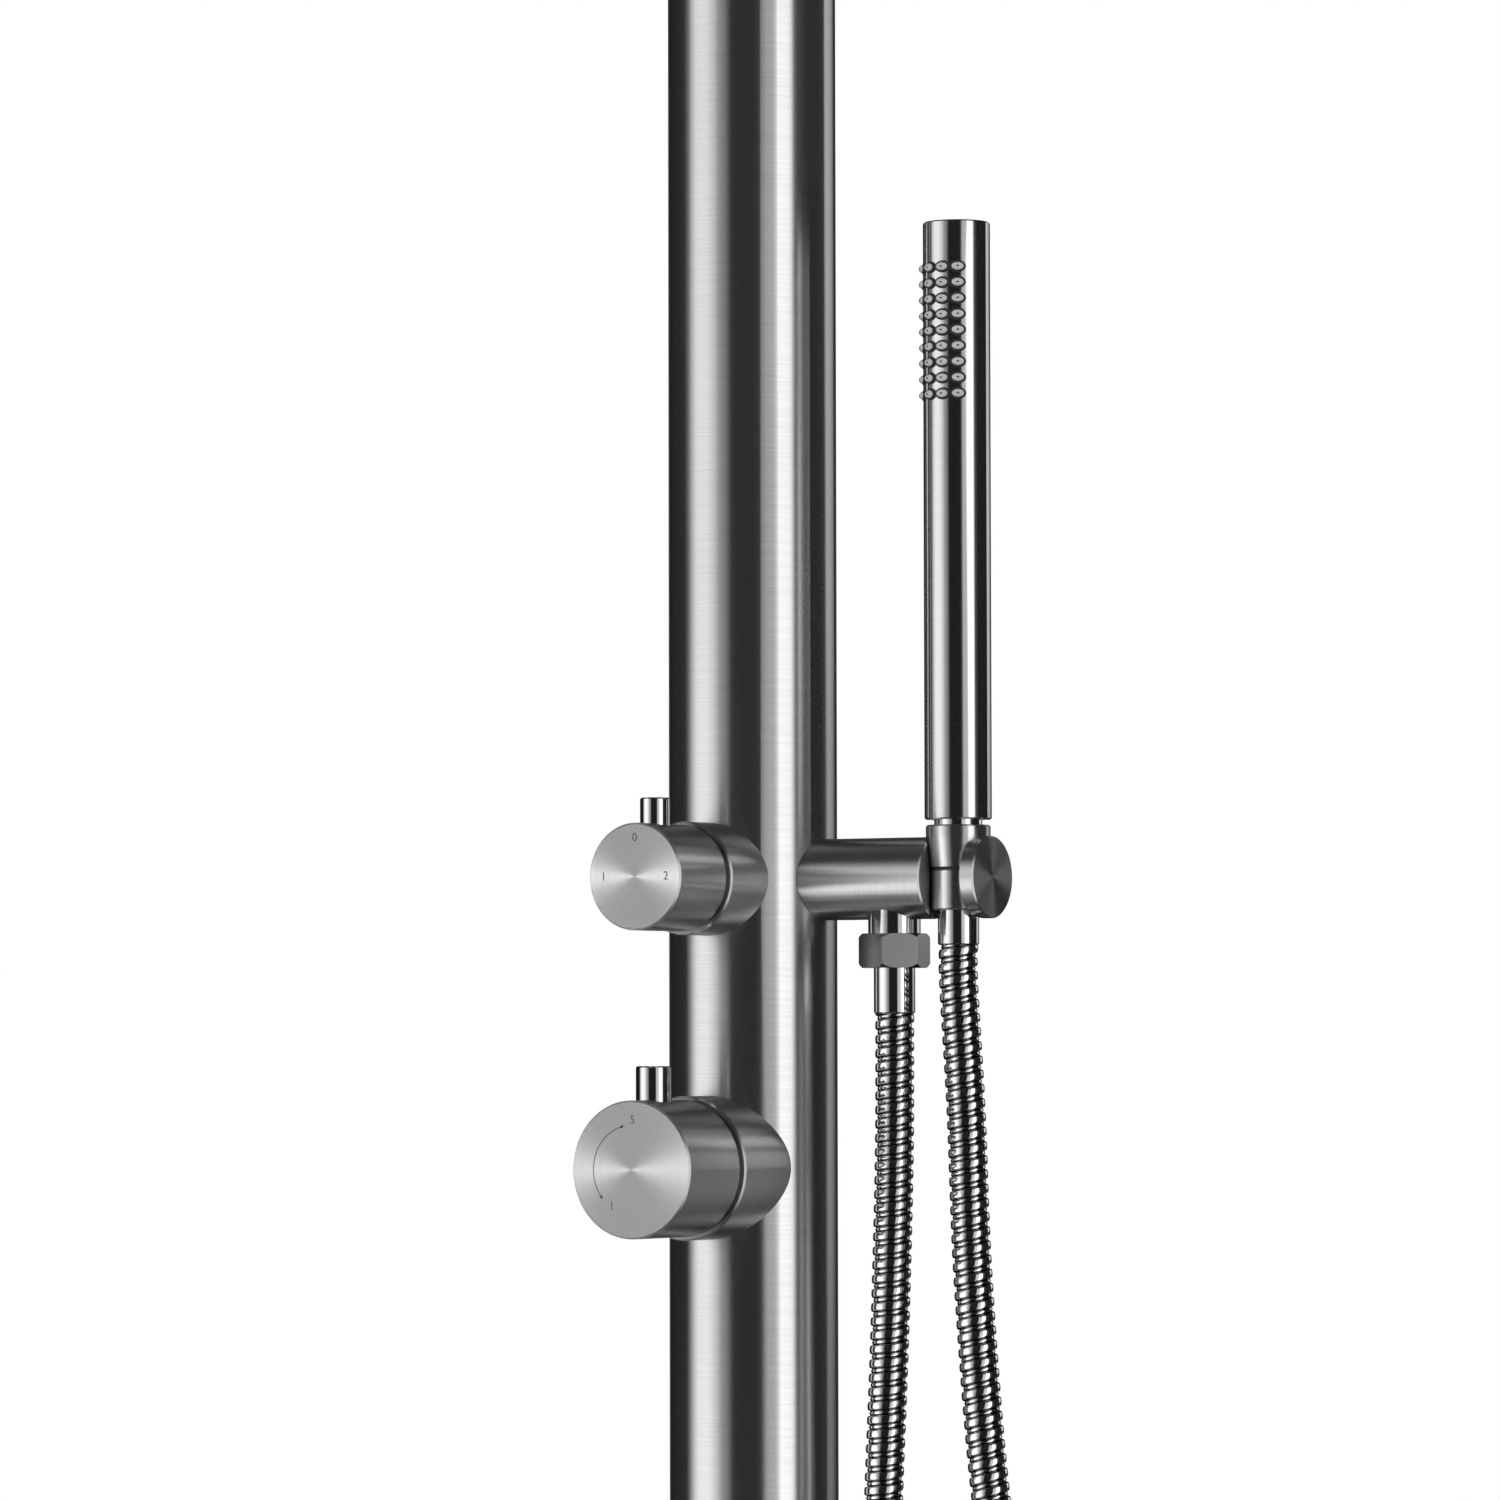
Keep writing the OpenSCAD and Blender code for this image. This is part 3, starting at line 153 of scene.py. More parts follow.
def joinInto(main, pieces):
    selectOnly(main)
    for piece in pieces:
        piece.select_set(True)
    bpy.ops.object.join()


def pickFaces(piece, test):
    bpy.ops.object.mode_set(mode="EDIT")
    bpy.ops.mesh.select_mode(type="FACE")
    bpy.ops.mesh.select_all(action="DESELECT")
    bpy.ops.object.mode_set(mode="OBJECT")
    for face in piece.data.polygons:
        face.select = test(face)
    bpy.ops.object.mode_set(mode="EDIT")


# Merge what lies on one point and turn the active piece's faces outward
def closeMesh():
    bpy.ops.object.mode_set(mode="EDIT")
    bpy.ops.mesh.select_all(action="SELECT")
    bpy.ops.mesh.remove_doubles(threshold=mergeGap)
    bpy.ops.mesh.normals_make_consistent(inside=False)
    bpy.ops.object.mode_set(mode="OBJECT")


def inMetres(place):
    return [mm * part for part in place]


# Sizes and place in millimetres, turns in degrees
def addCylinder(sides, radius, depth, place, turn=(0, 0, 0)):
    deselectAll()
    bpy.ops.mesh.primitive_cylinder_add(
        vertices=sides, radius=mm * radius, depth=mm * depth, location=inMetres(place),
        rotation=[math.radians(part) for part in turn])
    return bpy.context.object


def dress(piece, *materials):
    piece.data.materials.clear()
    for material in materials:
        piece.data.materials.append(material)


hoseLook = {
    "diameter": 13.8,
    "turns": 305,         # turns of the wound strip
    "ringsPerTurn": 12,
    "sides": 24,
    "inside": 7.0,        # how far it goes into each ferrule
    "routeSteps": 24,     # points between two of the route's
    "smoothAngle": 60,
    # share of a turn, depth under the full radius, painted shade on the steel (1 on the crown,
    # darkest in the grooves)
    "profile": (
        (0.00, 1.15, 0.10), (0.02, 0.55, 0.50), (0.055, 0.20, 1.0), (0.14, 0.06, 1.0),
        (0.26, 0.00, 1.0), (0.39, 0.00, 1.0), (0.51, 0.06, 1.0), (0.595, 0.20, 1.0),
        (0.63, 0.55, 0.50), (0.655, 1.15, 0.10), (0.76, 0.80, 0.95), (0.88, 0.80, 0.95)),
}
# the hose's route as part.scad has it: x and z in millimetres
hoseRoute = (
    (58, 1054), (58, 1040.2), (57.6, 1000), (55.6, 940), (52.8, 880), (49.6, 800), (45.5, 700),
    (42, 600), (40, 520), (40, 455), (43.5, 411), (54, 376), (72.5, 352), (97.5, 344),
    (122.5, 352), (141, 374), (152, 406), (154.5, 445), (151, 505), (142.5, 580), (132, 660),
    (120, 740), (107.4, 820), (96.2, 885), (89.4, 960), (86.7, 1020), (83.9, 1064.1),
    (83.9, 1077.9))


# A Catmull-Rom curve through the points
def smoothRoute(points, steps):
    last = len(points) - 1
    found = []
    for i in range(last):
        a, b = points[max(i - 1, 0)], points[i]
        c, d = points[i + 1], points[min(i + 2, last)]
        for k in range(steps):
            t = k / steps
            found.append(tuple(
                (2 * b[n] + (c[n] - a[n]) * t + (2 * a[n] - 5 * b[n] + 4 * c[n] - d[n]) * t * t
                 + (3 * b[n] - a[n] - 3 * c[n] + d[n]) * t ** 3) / 2 for n in (0, 1)))
    return found + [points[-1]]


def makeHose():
    inside = hoseLook["inside"]
    line = smoothRoute(hoseRoute, hoseLook["routeSteps"])
    line = [(line[0][0], line[0][1] + inside)] + line + [(line[-1][0], line[-1][1] + inside)]
    runs = [0.0]
    for before, after in zip(line, line[1:]):
        runs.append(runs[-1] + math.dist(before, after))
    length = runs[-1]

    def along(run):
        run = min(max(run, 0), length)
        low, high = 0, len(runs) - 1
        while high - low > 1:
            middle = (low + high) // 2
            if runs[middle] <= run:
                low = middle
            else:
                high = middle
        share = (run - runs[low]) / (runs[high] - runs[low])
        return Vector((line[low][0] + share * (line[high][0] - line[low][0]), 0,
                       line[low][1] + share * (line[high][1] - line[low][1])))

    sides, perTurn, turns = hoseLook["sides"], hoseLook["ringsPerTurn"], hoseLook["turns"]
    profile = hoseLook["profile"]
    radius = hoseLook["diameter"] / 2
    pitch = length / (turns + 1)
    rings = turns * perTurn + 1
    points, grooveShades = [], []
    for i in range(rings):
        share, depth, bright = profile[i % perTurn]
        # painted shade: each ring gets the profile's darkness, darkest down in the grooves, stored
        # in the mesh as "tone"
        grooveShades += [bright] * sides
        for j in range(sides):
            run = (i // perTurn + share + j / sides) * pitch
            middle = along(run)
            forward = (along(run + pitch / 2) - along(run - pitch / 2)).normalized()
            across = Vector((forward.z, 0, -forward.x))
            angle = math.tau * j / sides   # the strip winds like a right-handed screw
            out = across * math.cos(angle) + Vector((0, 1, 0)) * math.sin(angle)
            points.append((middle + out * (radius - depth)) * mm)

    def at(i, j):
        return i * sides + j if j < sides else (i + perTurn) * sides

    faces = []
    for i in range(rings - 1):
        for j in range(sides):
            if j == sides - 1 and i + 1 + perTurn > rings - 1:
                continue
            faces.append((at(i, j), at(i, j + 1), at(i + 1, j + 1), at(i + 1, j)))
    mesh = bpy.data.meshes.new("showerHose")
    mesh.from_pydata(points, [], faces)
    mesh.attributes.new("tone", "FLOAT", "POINT").data.foreach_set("value", grooveShades)
    hose = bpy.data.objects.new("showerHose", mesh)
    bpy.context.scene.collection.objects.link(hose)
    selectOnly(hose)
    bpy.ops.object.mode_set(mode="EDIT")
    bpy.ops.mesh.select_all(action="SELECT")
    bpy.ops.mesh.fill_holes(sides=0)
    bpy.ops.mesh.select_all(action="SELECT")
    bpy.ops.mesh.normals_make_consistent(inside=False)
    bpy.ops.object.mode_set(mode="OBJECT")
    bpy.ops.object.shade_smooth_by_angle(angle=math.radians(hoseLook["smoothAngle"]))
    centre = [(x * mm, 0, z * mm) for x, z in line]
    return hose, centre


print("hose")
hose, hoseCentre = makeHose()
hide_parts("shower_hose")
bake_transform(hose)

studioLook = {
    "cameraAzimuth": 31.13,
    "ambient": 0.9,      # for what isn't mirrored
    "backdrop": 1.0,     # as the camera sees it
    "front": 0.012,      # what the metal mirrors where no panel stands
    # name: azimuth from the camera's side, half width, softness,
    #       elevation, half height, softness, strength
    "panels": {
        "keyLeft": (-74, 20, 26, -8, 36, 34, 1.10),
        "keyLeftLow": (-74, 20, 26, -16, 12, 8, 0.50),
        "keyLeftEdge": (-45, 11, 12, -8, 36, 34, 0.32),
        "keyRight": (46.5, 12, 4, -8, 36, 34, 1.05),
        "stepRight": (35.5, 20, 8, -8, 36, 34, 0.58),
        "rimRight": (65, 5, 6, -8, 36, 34, 0.05),
        "backHigh": (139, 14, 8, 28, 4, 5, 0.55),
        "backUpper": (136, 14, 8, 19, 4, 4, 1.70),
        "backMiddle": (136, 14, 8, 6, 5.5, 3, 1.05),
        "backLow": (136, 14, 8, -18, 15, 10, 0.08),
        "backFill": (180, 15, 10, 4, 26, 20, 0.35),
        "topStrip": (-152, 26, 12, 55, 5, 6, 0.55),
        "lowStrip": (-160, 22, 12, -48, 4, 6, 0.55),
    },
}


def whiteBackground(tree, strength):
    node = tree.nodes.new("ShaderNodeBackground")
    node.inputs["Color"].default_value = (1, 1, 1, 1)
    feed(tree, node.inputs["Strength"], strength)
    return node.outputs[0]


# The metal mirrors soft panels that stand round it in the dark
def makeStudio():
    world = bpy.data.worlds.new("studio")
    bpy.context.scene.world = world
    world.use_nodes = True
    tree = world.node_tree
    tree.nodes.clear()
    place = tree.nodes.new("ShaderNodeTexCoord").outputs["Generated"]
    split = tree.nodes.new("ShaderNodeSeparateXYZ")
    tree.links.new(place, split.inputs[0])
    x, y, z = split.outputs
    side = mathNode(tree, "ARCTAN2", x, mathNode(tree, "MULTIPLY", y, -1.0))
    side = mathNode(tree, "MULTIPLY", side, 180 / math.pi)
    side = mathNode(tree, "SUBTRACT", side, studioLook["cameraAzimuth"])
    up = mathNode(tree, "MULTIPLY", mathNode(tree, "ARCSINE", z), 180 / math.pi)
    level = studioLook["front"]
    for azimuth, half, soft, height, halfHeight, softHeight, strength in (
            studioLook["panels"].values()):
        off = mathNode(tree, "WRAP", mathNode(tree, "SUBTRACT", side, azimuth), 180.0, -180.0)
        off = mathNode(tree, "ABSOLUTE", off)
        wide = mapRange(tree, off, half - soft / 2, half + soft / 2, strength, 0.0, smooth=True)
        rise = mathNode(tree, "ABSOLUTE", mathNode(tree, "SUBTRACT", up, height))
        tall = mapRange(tree, rise, halfHeight - softHeight / 2, halfHeight + softHeight / 2,
                        1.0, 0.0, smooth=True)
        level = mathNode(tree, "MULTIPLY_ADD", wide, tall, level)
    rays = tree.nodes.new("ShaderNodeLightPath")
    unseen = mixShaders(tree, rays.outputs["Is Glossy Ray"],
                        whiteBackground(tree, studioLook["ambient"]), whiteBackground(tree, level))
    whole = mixShaders(tree, rays.outputs["Is Camera Ray"], unseen,
                       whiteBackground(tree, studioLook["backdrop"]))
    out = tree.nodes.new("ShaderNodeOutputWorld")
    tree.links.new(whole, out.inputs["Surface"])


floorLook = {
    "radius": 3.0, "sides": 96,
    "under": 0.0002,     # just below the base plate
    "fadeFrom": 0.9, "fadeTo": 2.94,
    "colour": (0.93, 0.93, 0.93, 1),
}
sunLook = {"strength": 0.5, "size": 25, "turn": (38, 0, -25)}


def makeFloor():
    deselectAll()
    bpy.ops.mesh.primitive_circle_add(
        vertices=floorLook["sides"], radius=floorLook["radius"], fill_type="NGON",
        location=(0, 0, -floorLook["under"]))
    floor = bpy.context.object
    floor.name = "floor"
    material, tree = newTree("paleFloor")
    tree.nodes.clear()
    diffuse = tree.nodes.new("ShaderNodeBsdfDiffuse")
    diffuse.inputs["Color"].default_value = floorLook["colour"]
    white = tree.nodes.new("ShaderNodeEmission")
    white.inputs["Strength"].default_value = 1.0
    place = tree.nodes.new("ShaderNodeTexCoord").outputs["Object"]
    length = tree.nodes.new("ShaderNodeVectorMath")
    length.operation = "LENGTH"
    tree.links.new(place, length.inputs[0])
    fade = mapRange(tree, length.outputs["Value"], floorLook["fadeFrom"], floorLook["fadeTo"],
                    0.0, 1.0, smooth=True)
    out = tree.nodes.new("ShaderNodeOutputMaterial")
    tree.links.new(mixShaders(tree, fade, diffuse.outputs[0], white.outputs[0]),
                   out.inputs["Surface"])
    floor.data.materials.append(material)
    floor.visible_glossy = False


def makeSun():
    sun = bpy.data.lights.new("softSun", "SUN")
    sun.energy = sunLook["strength"]
    sun.angle = math.radians(sunLook["size"])
    lamp = bpy.data.objects.new("softSun", sun)
    bpy.context.scene.collection.objects.link(lamp)
    lamp.rotation_euler = [math.radians(part) for part in sunLook["turn"]]
    lamp.visible_glossy = False


dialLamp = {
    "azimuth": -31.2,     # where the dials mirror it towards the camera
    "distance": 4.0,
    "height": 1.10,
    "wide": 5.4,
    "tall": 0.5,
    "power": 70.0,
    "lights": ("mixer_knob", "diverter_knob"),
}


# A long low softbox that only the two knobs see
def makeDialLamp():
    receivers = bpy.data.collections.new("dialLampReceivers")
    for name in dialLamp["lights"]:
        receivers.objects.link(nodes[name])
    data = bpy.data.lights.new("dialLamp", "AREA")
    data.shape = "RECTANGLE"
    data.size = dialLamp["wide"]
    data.size_y = dialLamp["tall"]
    data.energy = dialLamp["power"]
    lamp = bpy.data.objects.new("dialLamp", data)
    bpy.context.scene.collection.objects.link(lamp)
    turn = math.radians(dialLamp["azimuth"])
    lamp.location = (dialLamp["distance"] * math.sin(turn), -dialLamp["distance"] * math.cos(turn),
                     dialLamp["height"])
    lamp.rotation_euler = (math.radians(90), 0, turn)
    lamp.light_linking.receiver_collection = receivers
    lamp.visible_camera = False


print("studio")
makeStudio()
makeFloor()
makeSun()
makeDialLamp()


# Rubber, plastic and silicone: a fine moulded grain
def makeMoulded(name, look):
    material, tree = newTree(name)
    shader = tree.nodes["Principled BSDF"]
    shader.inputs["Roughness"].default_value = look["roughness"]
    shader.inputs["Specular IOR Level"].default_value = look["gloss"]
    place = tree.nodes.new("ShaderNodeTexCoord").outputs["Object"]
    grain = noiseNode(tree, place, look["grainScale"], look["grainDetail"])
    cloud = noiseNode(tree, place, look["cloudScale"], look["cloudDetail"])
    tone = mathNode(tree, "ADD", toneNode(tree, grain, look["tone"]),
                    toneNode(tree, cloud, look["tone"], middle=1.0))
    colour = tree.nodes.new("ShaderNodeCombineColor")
    for socket, part in zip(colour.inputs, look["colour"]):
        feed(tree, socket, mathNode(tree, "MULTIPLY", tone, part))
    tree.links.new(colour.outputs[0], shader.inputs["Base Color"])
    bump = tree.nodes.new("ShaderNodeBump")
    bump.inputs["Strength"].default_value = look["bump"]
    bump.inputs["Distance"].default_value = look["bumpHeight"]
    tree.links.new(grain, bump.inputs["Height"])
    tree.links.new(bump.outputs[0], shader.inputs["Normal"])
    return material


blackRubber = {
    "roughness": 0.55, "gloss": 0.4, "grainScale": 2500.0, "grainDetail": 3.0,
    "cloudScale": 60.0, "cloudDetail": 2.0, "tone": 0.12, "bump": 0.3, "bumpHeight": 0.00005,
    "colour": (0.03, 0.03, 0.03),
}
whitePlastic = dict(blackRubber, roughness=0.4, tone=0.02, colour=(0.85, 0.85, 0.83))
greySilicone = dict(blackRubber, roughness=0.35, tone=0.04, bump=0.15,
                    colour=(0.46, 0.46, 0.46))

nozzleLook = {
    "axis": (holderX, 0.0),   # the wand's axis in plan
    "tubeRadius": 11.8,
    "top": 1331.6,            # the wand's top
    "drop": 16.5,             # top to the first row
    "rows": 9, "columns": 4, "pitch": 5.57, "step": 26.5, "middle": -98.5,
    "wide": 4.7, "tall": 3.0,     # oval at the tube
    "foot": 1.6,              # how deep it stands in the tube
    # height above the tube, size across, size upright: a domed oval cone
    "shape": ((0.2, 1.00, 1.00), (0.8, 0.92, 0.90), (1.2, 0.80, 0.74), (1.5, 0.60, 0.50)),
    "flange": (1.26, 1.42),   # the lip round it, in black rubber as painted shade in the gap round the nozzle
    "shadeHeight": 0.75,           # the foot is painted black up to this height, as shade at its base
    "hole": 0.36,             # size of the spray hole over the tip
    "holeDepth": 1.0,
    "lipStep": 0.15,          # the lip's top, below the cone's first size
    "sides": 20,
}
stripLook = {"radius": 10.2, "thick": 1.4, "spread": 111.5, "margin": 5.0, "steps": 24}
insideMargin = 1.01           # a face's middle this far out still lies in the hole


# One silicone nozzle along +X, from the strip's outer face through the tube's wall
def makeNozzle():
    look = nozzleLook
    base = look["tubeRadius"] - look["foot"]
    lip = look["shape"][0][0] - look["lipStep"]
    depth = look["foot"] + lip
    nozzle = addCylinder(look["sides"], look["wide"] / 2, depth, (base + depth / 2, 0, 0),
                         turn=(0, 90, 0))
    dress(nozzle, makeMoulded("nozzleSilicone", greySilicone),
          makeMoulded("nozzlePaintedShade", blackRubber))
    nozzle.scale = (look["tall"] * look["flange"][1] / look["wide"], look["flange"][0], 1)
    bakePlace(nozzle)
    pickFaces(nozzle, lambda face: face.normal.x > nearlyAlong)
    wide, tall, height = look["flange"][0], look["flange"][1], lip
    for level, across, upright in ((lip, 1.0, 1.0),) + look["shape"]:
        bpy.ops.mesh.extrude_region_move(
            TRANSFORM_OT_translate={"value": (mm * (level - height), 0, 0)})
        bpy.ops.transform.resize(value=(1, across / wide, upright / tall))
        wide, tall, height = across, upright, level
    bpy.ops.mesh.extrude_region_move(TRANSFORM_OT_translate={"value": (0, 0, 0)})
    bpy.ops.transform.resize(value=(1, look["hole"], look["hole"]))
    bpy.ops.mesh.extrude_region_move(
        TRANSFORM_OT_translate={"value": (-mm * look["holeDepth"], 0, 0)})
    bpy.ops.object.mode_set(mode="OBJECT")
    shadeTop = mm * (look["tubeRadius"] + look["shadeHeight"])
    holeWide = mm * look["wide"] * look["shape"][-1][1] * look["hole"] / 2
    holeTall = mm * look["tall"] * look["shape"][-1][2] * look["hole"] / 2
    # Painted shade: faces low on the nozzle and inside the spray hole get the black rubber, for
    # the shade in the gap round it and down the hole
    for face in nozzle.data.polygons:
        inHole = math.hypot(face.center.y / holeWide, face.center.z / holeTall) < insideMargin
        face.material_index = 1 if face.center.x < shadeTop or inHole else 0
    return nozzle


def makeNozzles():
    look = nozzleLook
    first = makeNozzle()
    pieces = []
    for row in range(look["rows"]):
        for column in range(look["columns"]):
            copy = first.copy()
            copy.data = first.data.copy()
            bpy.context.scene.collection.objects.link(copy)
            turn = look["middle"] + (column - (look["columns"] - 1) / 2) * look["step"]
            copy.rotation_euler = (0, 0, math.radians(turn))
            height = look["top"] - look["drop"] - row * look["pitch"]
            copy.location = inMetres((*look["axis"], height))
            pieces.append(copy)
    bpy.data.objects.remove(first)
    strip = makeStrip()
    joinInto(strip, pieces)
    bakePlace(strip)
    bpy.ops.object.shade_smooth_by_angle(angle=math.radians(smoothAngle))
    strip.name = "wandNozzles"
    return strip


# The strip inside the tube that carries the nozzles
def makeStrip():
    look = nozzleLook
    high = look["top"] - look["drop"] + stripLook["margin"]
    low = high - (look["rows"] - 1) * look["pitch"] - 2 * stripLook["margin"]
    start = math.radians(look["middle"] - stripLook["spread"] / 2)
    inner = stripLook["radius"] - stripLook["thick"]
    deselectAll()
    bpy.ops.mesh.primitive_plane_add(size=1, location=(0, 0, 0))
    strip = bpy.context.object
    dress(strip, makeMoulded("stripSilicone", greySilicone))
    strip.rotation_euler = (math.radians(90), 0, 0)
    strip.scale = (mm * stripLook["thick"], mm * (high - low), 1)
    bakePlace(strip)
    strip.location = inMetres((inner + stripLook["thick"] / 2, 0, (high + low) / 2))
    bakePlace(strip)
    strip.rotation_euler = (0, 0, start)
    bakePlace(strip)
    bpy.ops.object.mode_set(mode="EDIT")
    bpy.ops.mesh.select_all(action="SELECT")
    bpy.ops.mesh.spin(steps=stripLook["steps"], angle=math.radians(stripLook["spread"]),
                      center=(0, 0, 0), axis=(0, 0, 1))
    closeMesh()
    strip.location = inMetres((*look["axis"], 0))
    bakePlace(strip)
    return strip


print("nozzles")
wandNozzles = makeNozzles()
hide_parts("wand_nozzles")
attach(wandNozzles, "hand_shower")

saddleLook = {
    "x": outletX, "height": diverterHeight,    # where the arm's axis passes over the outlet
    "radius": 9.25, "armRadius": 14.4,
    "sides": 96, "armSides": 192,
    "seat": 13.0,                 # the stub's top, below the arm's axis
    "rise": 4.0,
}


# The stub's edge over its seat, cut to the arm's round underside
def makeSaddle():
    look = saddleLook
    low = look["height"] - look["seat"]
    saddle = addCylinder(look["sides"], look["radius"], look["rise"],
                         (look["x"], 0, low + look["rise"] / 2))
    arm = addCylinder(look["armSides"], look["armRadius"], 4 * look["radius"],
                      (look["x"], 0, look["height"]), turn=(0, 90, 0))
    cut = saddle.modifiers.new("underArm", "BOOLEAN")
    cut.operation = "DIFFERENCE"
    cut.solver = "EXACT"
    cut.object = arm
    selectOnly(saddle)
    bpy.ops.object.modifier_apply(modifier="underArm")
    bpy.data.objects.remove(arm)
    bakePlace(saddle)
    bpy.ops.object.shade_smooth_by_angle(angle=math.radians(smoothAngle))
    saddle.name = "outletSaddle"
    return saddle


print("saddle")
outletSaddle = makeSaddle()
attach(outletSaddle, "post")

markLook = {
    "mixer": {"height": mixerHeight, "face": -82.1, "radius": 24, "size": 4.2,
              "numbers": (("5", -2, 0.72), ("1", 148, 0.62)), "arc": (14, 128, 0.64)},
    "diverter": {"height": diverterHeight, "face": -79.5, "radius": 18.7, "size": 4.2,
                 "numbers": (("0", 0, 0.72), ("1", 90, 0.68), ("2", -90, 0.68)), "arc": None},
    "proud": 0.03,
    "lineWidth": 0.45,
    "lineStart": 0.3,     # length of the piece that is spun into the arc
    "arcSteps": 40,
    "dot": 1.1, "dotSides": 24,
}


# Angles run from the top, counter-clockwise as the user sees the dial
def makeMarks(name):
    look = markLook[name]
    face = look["face"] - markLook["proud"] / 2
    parts = []

    def spot(angle, share):
        reach = look["radius"] * share
        turn = math.radians(angle)
        return (-reach * math.sin(turn), face, look["height"] + reach * math.cos(turn))

    for text, angle, share in look["numbers"]:
        deselectAll()
        bpy.ops.object.text_add(location=inMetres(spot(angle, share)),
                                rotation=(math.radians(90), 0, 0))
        number = bpy.context.object
        number.data.body = text
        number.data.size = mm * look["size"]
        number.data.align_x = "CENTER"
        number.data.align_y = "CENTER"
        number.data.extrude = mm * markLook["proud"] / 2
        selectOnly(number)
        bpy.ops.object.convert(target="MESH")
        parts.append(bpy.context.object)
    if look["arc"]:
        low, high, share = look["arc"]
        deselectAll()
        bpy.ops.mesh.primitive_cube_add(size=1, location=(0, 0, 0))
        arc = bpy.context.object
        arc.scale = inMetres((markLook["lineWidth"], markLook["proud"], markLook["lineStart"]))
        bakePlace(arc)
        arc.location = inMetres(spot(low, share))
        arc.rotation_euler = (0, -math.radians(low), 0)
        bakePlace(arc)
        ahead = Vector((-math.cos(math.radians(low)), 0, -math.sin(math.radians(low))))
        pickFaces(arc, lambda side: side.normal.dot(ahead) > nearlyAlong)
        bpy.ops.mesh.spin(steps=markLook["arcSteps"], angle=math.radians(high - low),
                          center=inMetres((0, face, look["height"])), axis=(0, 1, 0))
        bpy.ops.object.mode_set(mode="OBJECT")
        parts.append(arc)
        for angle in (low, high):
            parts.append(addCylinder(markLook["dotSides"], markLook["dot"] / 2,
                                     markLook["proud"], spot(angle, share), turn=(90, 0, 0)))
    marks = parts[0]
    joinInto(marks, parts)
    bakePlace(marks)
    closeMesh()
    marks.name = name + "Marks"
    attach(marks, name + "_handle")
    return marks


print("dial marks")
dialMarks = {name: makeMarks(name) for name in ("mixer", "diverter")}

axisOrder = {"X": (0, 1, 2), "Y": (1, 0, 2), "Z": (2, 0, 1)}
sideEnds, faceStarts = 0.90, 0.98    # the normal's share along the axis, from side to flat face


def faceValue(tree, facing, onSide, onFace):
    return mapRange(tree, facing, sideEnds, faceStarts, onSide, onFace, smooth=True)


# Steel turned or brushed round one axis: fine rings along the axis and out from it
def makeSteel(name, axis, centre, look):
    material, tree = newTree(name)
    shader = tree.nodes["Principled BSDF"]
    shader.inputs["Metallic"].default_value = look["metal"]
    shader.inputs["Specular Tint"].default_value = [look["edge"]] * 3 + [1]
    if "faceRoughness" in look:
        normal = tree.nodes.new("ShaderNodeSeparateXYZ")
        tree.links.new(tree.nodes.new("ShaderNodeTexCoord").outputs["Normal"], normal.inputs[0])
        facing = mathNode(tree, "ABSOLUTE", normal.outputs["XYZ".index(axis)])
        feed(tree, shader.inputs["Roughness"],
             faceValue(tree, facing, look["roughness"], look["faceRoughness"]))
    else:
        shader.inputs["Roughness"].default_value = look["roughness"]
    shader.inputs["Anisotropic"].default_value = look["stretch"]
    shader.inputs["Anisotropic Rotation"].default_value = look["turn"]
    tangent = tree.nodes.new("ShaderNodeTangent")
    tangent.direction_type = "RADIAL"
    tangent.axis = axis
    tree.links.new(tangent.outputs[0], shader.inputs["Tangent"])
    place = tree.nodes.new("ShaderNodeTexCoord").outputs["Object"]
    mapping = tree.nodes.new("ShaderNodeMapping")
    mapping.inputs["Location"].default_value = [-part for part in inMetres(centre)]
    tree.links.new(place, mapping.inputs["Vector"])
    split = tree.nodes.new("ShaderNodeSeparateXYZ")
    tree.links.new(mapping.outputs[0], split.inputs[0])
    main, second, third = (split.outputs[n] for n in axisOrder[axis])
    reach = mathNode(tree, "SQRT", mathNode(
        tree, "MULTIPLY_ADD", second, second, mathNode(tree, "MULTIPLY", third, third)))
    drift = mathNode(tree, "MULTIPLY", second, look["drift"])
    swing = mathNode(tree, "MULTIPLY", third, look["drift"])
    join = tree.nodes.new("ShaderNodeCombineXYZ")
    feed(tree, join.inputs[0], mathNode(tree, "MULTIPLY_ADD", main, look["fineness"], drift))
    feed(tree, join.inputs[1], mathNode(tree, "MULTIPLY_ADD", reach, look["fineness"], swing))
    feed(tree, join.inputs[2], mathNode(tree, "ADD", drift, swing))
    lines = noiseNode(tree, join.outputs[0], 1.0, look["lineDetail"], look["lineRoughness"])
    cloud = noiseNode(tree, mapping.outputs[0], look["cloudScale"], look["cloudDetail"])
    bright = mathNode(tree, "ADD", toneNode(tree, lines, look["lineTone"]),
                      toneNode(tree, cloud, look["cloudTone"], middle=1.0))
    # Painted shade: faces across the axis get a darker colour than the sides
    if "paintedFaceShade" in look:
        bright = mathNode(tree, "MULTIPLY", bright,
                          faceValue(tree, facing, 1.0, look["paintedFaceShade"]))
    # Painted shade read from the mesh, as in the hose's darker grooves
    if "shadeAttribute" in look:
        paintedShade = tree.nodes.new("ShaderNodeAttribute")
        paintedShade.attribute_name = look["shadeAttribute"]
        bright = mathNode(tree, "MULTIPLY", bright, paintedShade.outputs["Fac"])
    colour = tree.nodes.new("ShaderNodeCombineColor")
    for socket, part in zip(colour.inputs, look["colour"]):
        feed(tree, socket, mathNode(tree, "MULTIPLY", bright, part))
    tree.links.new(colour.outputs[0], shader.inputs["Base Color"])
    bump = tree.nodes.new("ShaderNodeBump")
    bump.inputs["Strength"].default_value = look["bump"]
    bump.inputs["Distance"].default_value = look["bumpHeight"]
    tree.links.new(lines, bump.inputs["Height"])
    tree.links.new(bump.outputs[0], shader.inputs["Normal"])
    return material


